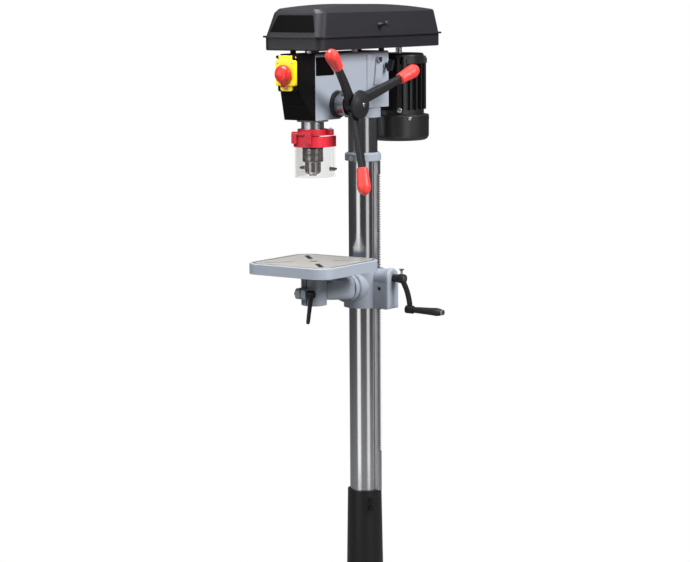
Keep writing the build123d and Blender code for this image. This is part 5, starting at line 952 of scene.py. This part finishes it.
class DRILL_OT_plates(bpy.types.Operator):
    """Bare plates on the belt guard's front and the head's side, where the photo has printed ones"""

    bl_idname = "drill.plates"
    bl_label = "Bare plates"

    def execute(self, context):
        sizes = context.scene.drill_sizes
        black = shade(context.scene.drill_colours.cover_black, 0.6)
        finish = moulded("plate_black", black, 0.5, 900.0, 0.05, gloss=0.06)
        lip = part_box("guard_lid")[0].z
        low, high = lip + sizes.panel_low, lip + sizes.panel_high
        foot, head = sizes.panel_foot, sizes.panel_head
        panel = rounded(((-foot, low), (foot, low), (head, high), (-head, high)), sizes.plate_corner)
        front = plate("lid_panel", "guard_lid", panel, 1, -outside, sizes.plate_thick)
        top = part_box("head_casting")[1].z
        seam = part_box("front_cover")[1].y
        low, high = top - sizes.label_low, top - sizes.label_high
        near, far = seam + sizes.label_near, seam + sizes.label_far
        label = rounded(((near, low), (far, low), (far, high), (near, high)), sizes.plate_corner / 2)
        side = plate("head_plate", "head_casting", label, 0, outside, sizes.plate_thick)
        for made, body in ((front, "lid"), (side, "frame")):
            made.data.materials.append(finish)
            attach(made, body)
        return {"FINISHED"}


class DRILL_OT_scales(bpy.types.Operator):
    """Depth scale round the feed's ring and tilt scale on the rim of the bracket's boss"""

    bl_idname = "drill.scales"
    bl_label = "Scales"
    # Metres: each scale's margin and the lengths of its lines
    depth_margin, depth_long, depth_middle, depth_short = 0.004, 0.010, 0.008, 0.005
    tilt_margin, tilt_long, tilt_short = 0.001, 0.007, 0.004

    def execute(self, context):
        sizes = context.scene.drill_sizes
        ink = painted("scale_ink", (0.012, 0.012, 0.013), 0.5, 0.1)
        for made, body in ((self.depth_scale(sizes), "depth_ring"), (self.tilt_scale(sizes), "bracket")):
            made.data.materials.append(ink)
            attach(made, body)
        return {"FINISHED"}

    def depth_scale(self, sizes):
        """Lines along the feed's axis, evenly round the ring."""
        low, high = corners("depth_ring")
        axis = feed_axis()
        radius = min(*(axis - low[1:]), *(high[1:] - axis))
        out, across = around(circle(80), y_axis, z_axis)
        starts = np.array((low[0] + self.depth_margin, *axis)) + radius * out
        number = np.arange(len(out))
        length = np.where(number % 5 == 0, self.depth_middle, self.depth_short)
        length = np.where(number % 10 == 0, self.depth_long, length)
        return ticks("depth_scale", starts, length[:, None] * x_axis, across, out, sizes)

    def tilt_scale(self, sizes):
        """Lines back from the bracket's face, on the right of the boss's rim."""
        centre = middle("tilt_bolt")
        centre[1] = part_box("table_bracket")[0].y + self.tilt_margin
        rim, _ = touch("table_bracket", [centre + (outside, self.tilt_short / 2, 0)], -x_axis)
        span = sizes.tilt_span
        angle = np.linspace(-span, span, 1 + round(2 * span / sizes.tilt_step))
        out, across = around(angle, x_axis, z_axis)
        length = np.where(np.arange(angle.size) % 5 == 0, self.tilt_long, self.tilt_short)
        starts = centre + (rim[0][0] - centre[0]) * out
        return ticks("tilt_scale", starts, length[:, None] * y_axis, -across, out, sizes)


class DRILL_OT_screws(bpy.types.Operator):
    """Cross-recess screws on the motor, feed hub and switch flap, and plugs over the lift gear's pin"""

    bl_idname = "drill.screws"
    bl_label = "Screws"
    # Radians that each cross is turned
    bell_cross, hub_cross, flap_cross, plug_cross = 0.4, 0.3, 0.2, 0.5

    def execute(self, context):
        sizes = context.scene.drill_sizes
        colours = context.scene.drill_colours
        bright = polished("screw_zinc", colours.steel, 0.18)
        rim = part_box("fan_cover")[1].z
        places = []
        for turn in sizes.fan_screw_turn + circle(4):
            seat = self.beside_motor("fan_cover", rim - sizes.fan_screw_drop, turn)
            places.append((*seat, sizes.fan_screw, turn))
        seat = self.beside_motor("motor_housing", rim + sizes.bell_screw_rise, sizes.bell_screw_turn)
        places.append((*seat, sizes.bell_screw, self.bell_cross))
        motor = screw_heads("motor_screws", places)
        y, z = feed_axis()
        off_centre = 0.004  # metres: clear of the hole in the hub's middle
        face = self.seat("feed_hub", (outside, y, z + off_centre), -x_axis)[0][0]
        feed = screw_heads("hub_screw", [((face, y, z), x_axis, sizes.hub_screw, self.hub_cross)])
        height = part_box("switch_flap")[1].z - sizes.flap_screw_drop
        spots = [(side * sizes.flap_screw_half, -outside, height) for side in (-1, 1)]
        seats = [self.seat("switch_flap", spot, y_axis) for spot in spots]
        flap = screw_heads("flap_screws", [(*seat, sizes.flap_screw, self.flap_cross) for seat in seats])
        for made, body in ((motor, "motor"), (feed, "feed"), (flap, "switch_flap")):
            made.data.materials.append(bright)
            made.data.shade_smooth()
            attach(made, body)
        gear = middle("lift_gear")
        seats = [self.seat("table_bracket", gear - outside * way, way) for way in (y_axis, -y_axis)]
        plugs = screw_heads("pin_plugs", [(*seat, sizes.plug, self.plug_cross) for seat in seats])
        plugs.data.materials.append(painted("plug_black", shade(colours.satin_black, 0.5), 0.5))
        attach(plugs, "bracket")
        return {"FINISHED"}

    def beside_motor(self, node, height, turn):
        """Point and normal on the motor's side, at a height and an angle round its axis."""
        out, _ = around(turn, x_axis, y_axis)
        axis = np.array((*middle("fan_cover")[:2], height))
        return self.seat(node, axis + outside * out, -out)

    def seat(self, node, start, direction):
        """Point and normal of a screw's seat."""
        points, normals = touch(node, [start], direction)
        return points[0], normals[0]


class DRILL_PT_sidebar(bpy.types.Panel):
    """Lists the sizes, colours and steps"""

    bl_idname = "DRILL_PT_sidebar"
    bl_label = "Drill Press"
    bl_space_type = "VIEW_3D"
    bl_region_type = "UI"
    bl_category = "Drill Press"

    def draw(self, context):
        for group in (context.scene.drill_sizes, context.scene.drill_colours):
            box = self.layout.box()
            for key in group.__annotations__:
                box.prop(group, key)
        for step in steps:
            self.layout.operator(step.bl_idname)


steps = (
    DRILL_OT_stage, DRILL_OT_castings, DRILL_OT_steelwork, DRILL_OT_blackwork, DRILL_OT_plastics,
    DRILL_OT_chuck, DRILL_OT_chuck_guard, DRILL_OT_belt_guard, DRILL_OT_switch, DRILL_OT_arms,
    DRILL_OT_levers, DRILL_OT_plates, DRILL_OT_scales, DRILL_OT_screws,
)
classes = (DrillColours, DrillSizes, *steps, DRILL_PT_sidebar)


def register():
    for cls in classes:
        bpy.utils.register_class(cls)
    bpy.types.Scene.drill_colours = bpy.props.PointerProperty(type=DrillColours)
    bpy.types.Scene.drill_sizes = bpy.props.PointerProperty(type=DrillSizes)


def unregister():
    del bpy.types.Scene.drill_sizes
    del bpy.types.Scene.drill_colours
    for cls in reversed(classes):
        bpy.utils.unregister_class(cls)


def main():
    register()
    for step in steps:
        category, name = step.bl_idname.split(".")
        getattr(getattr(bpy.ops, category), name)()


if __name__ == "__main__":
    main()
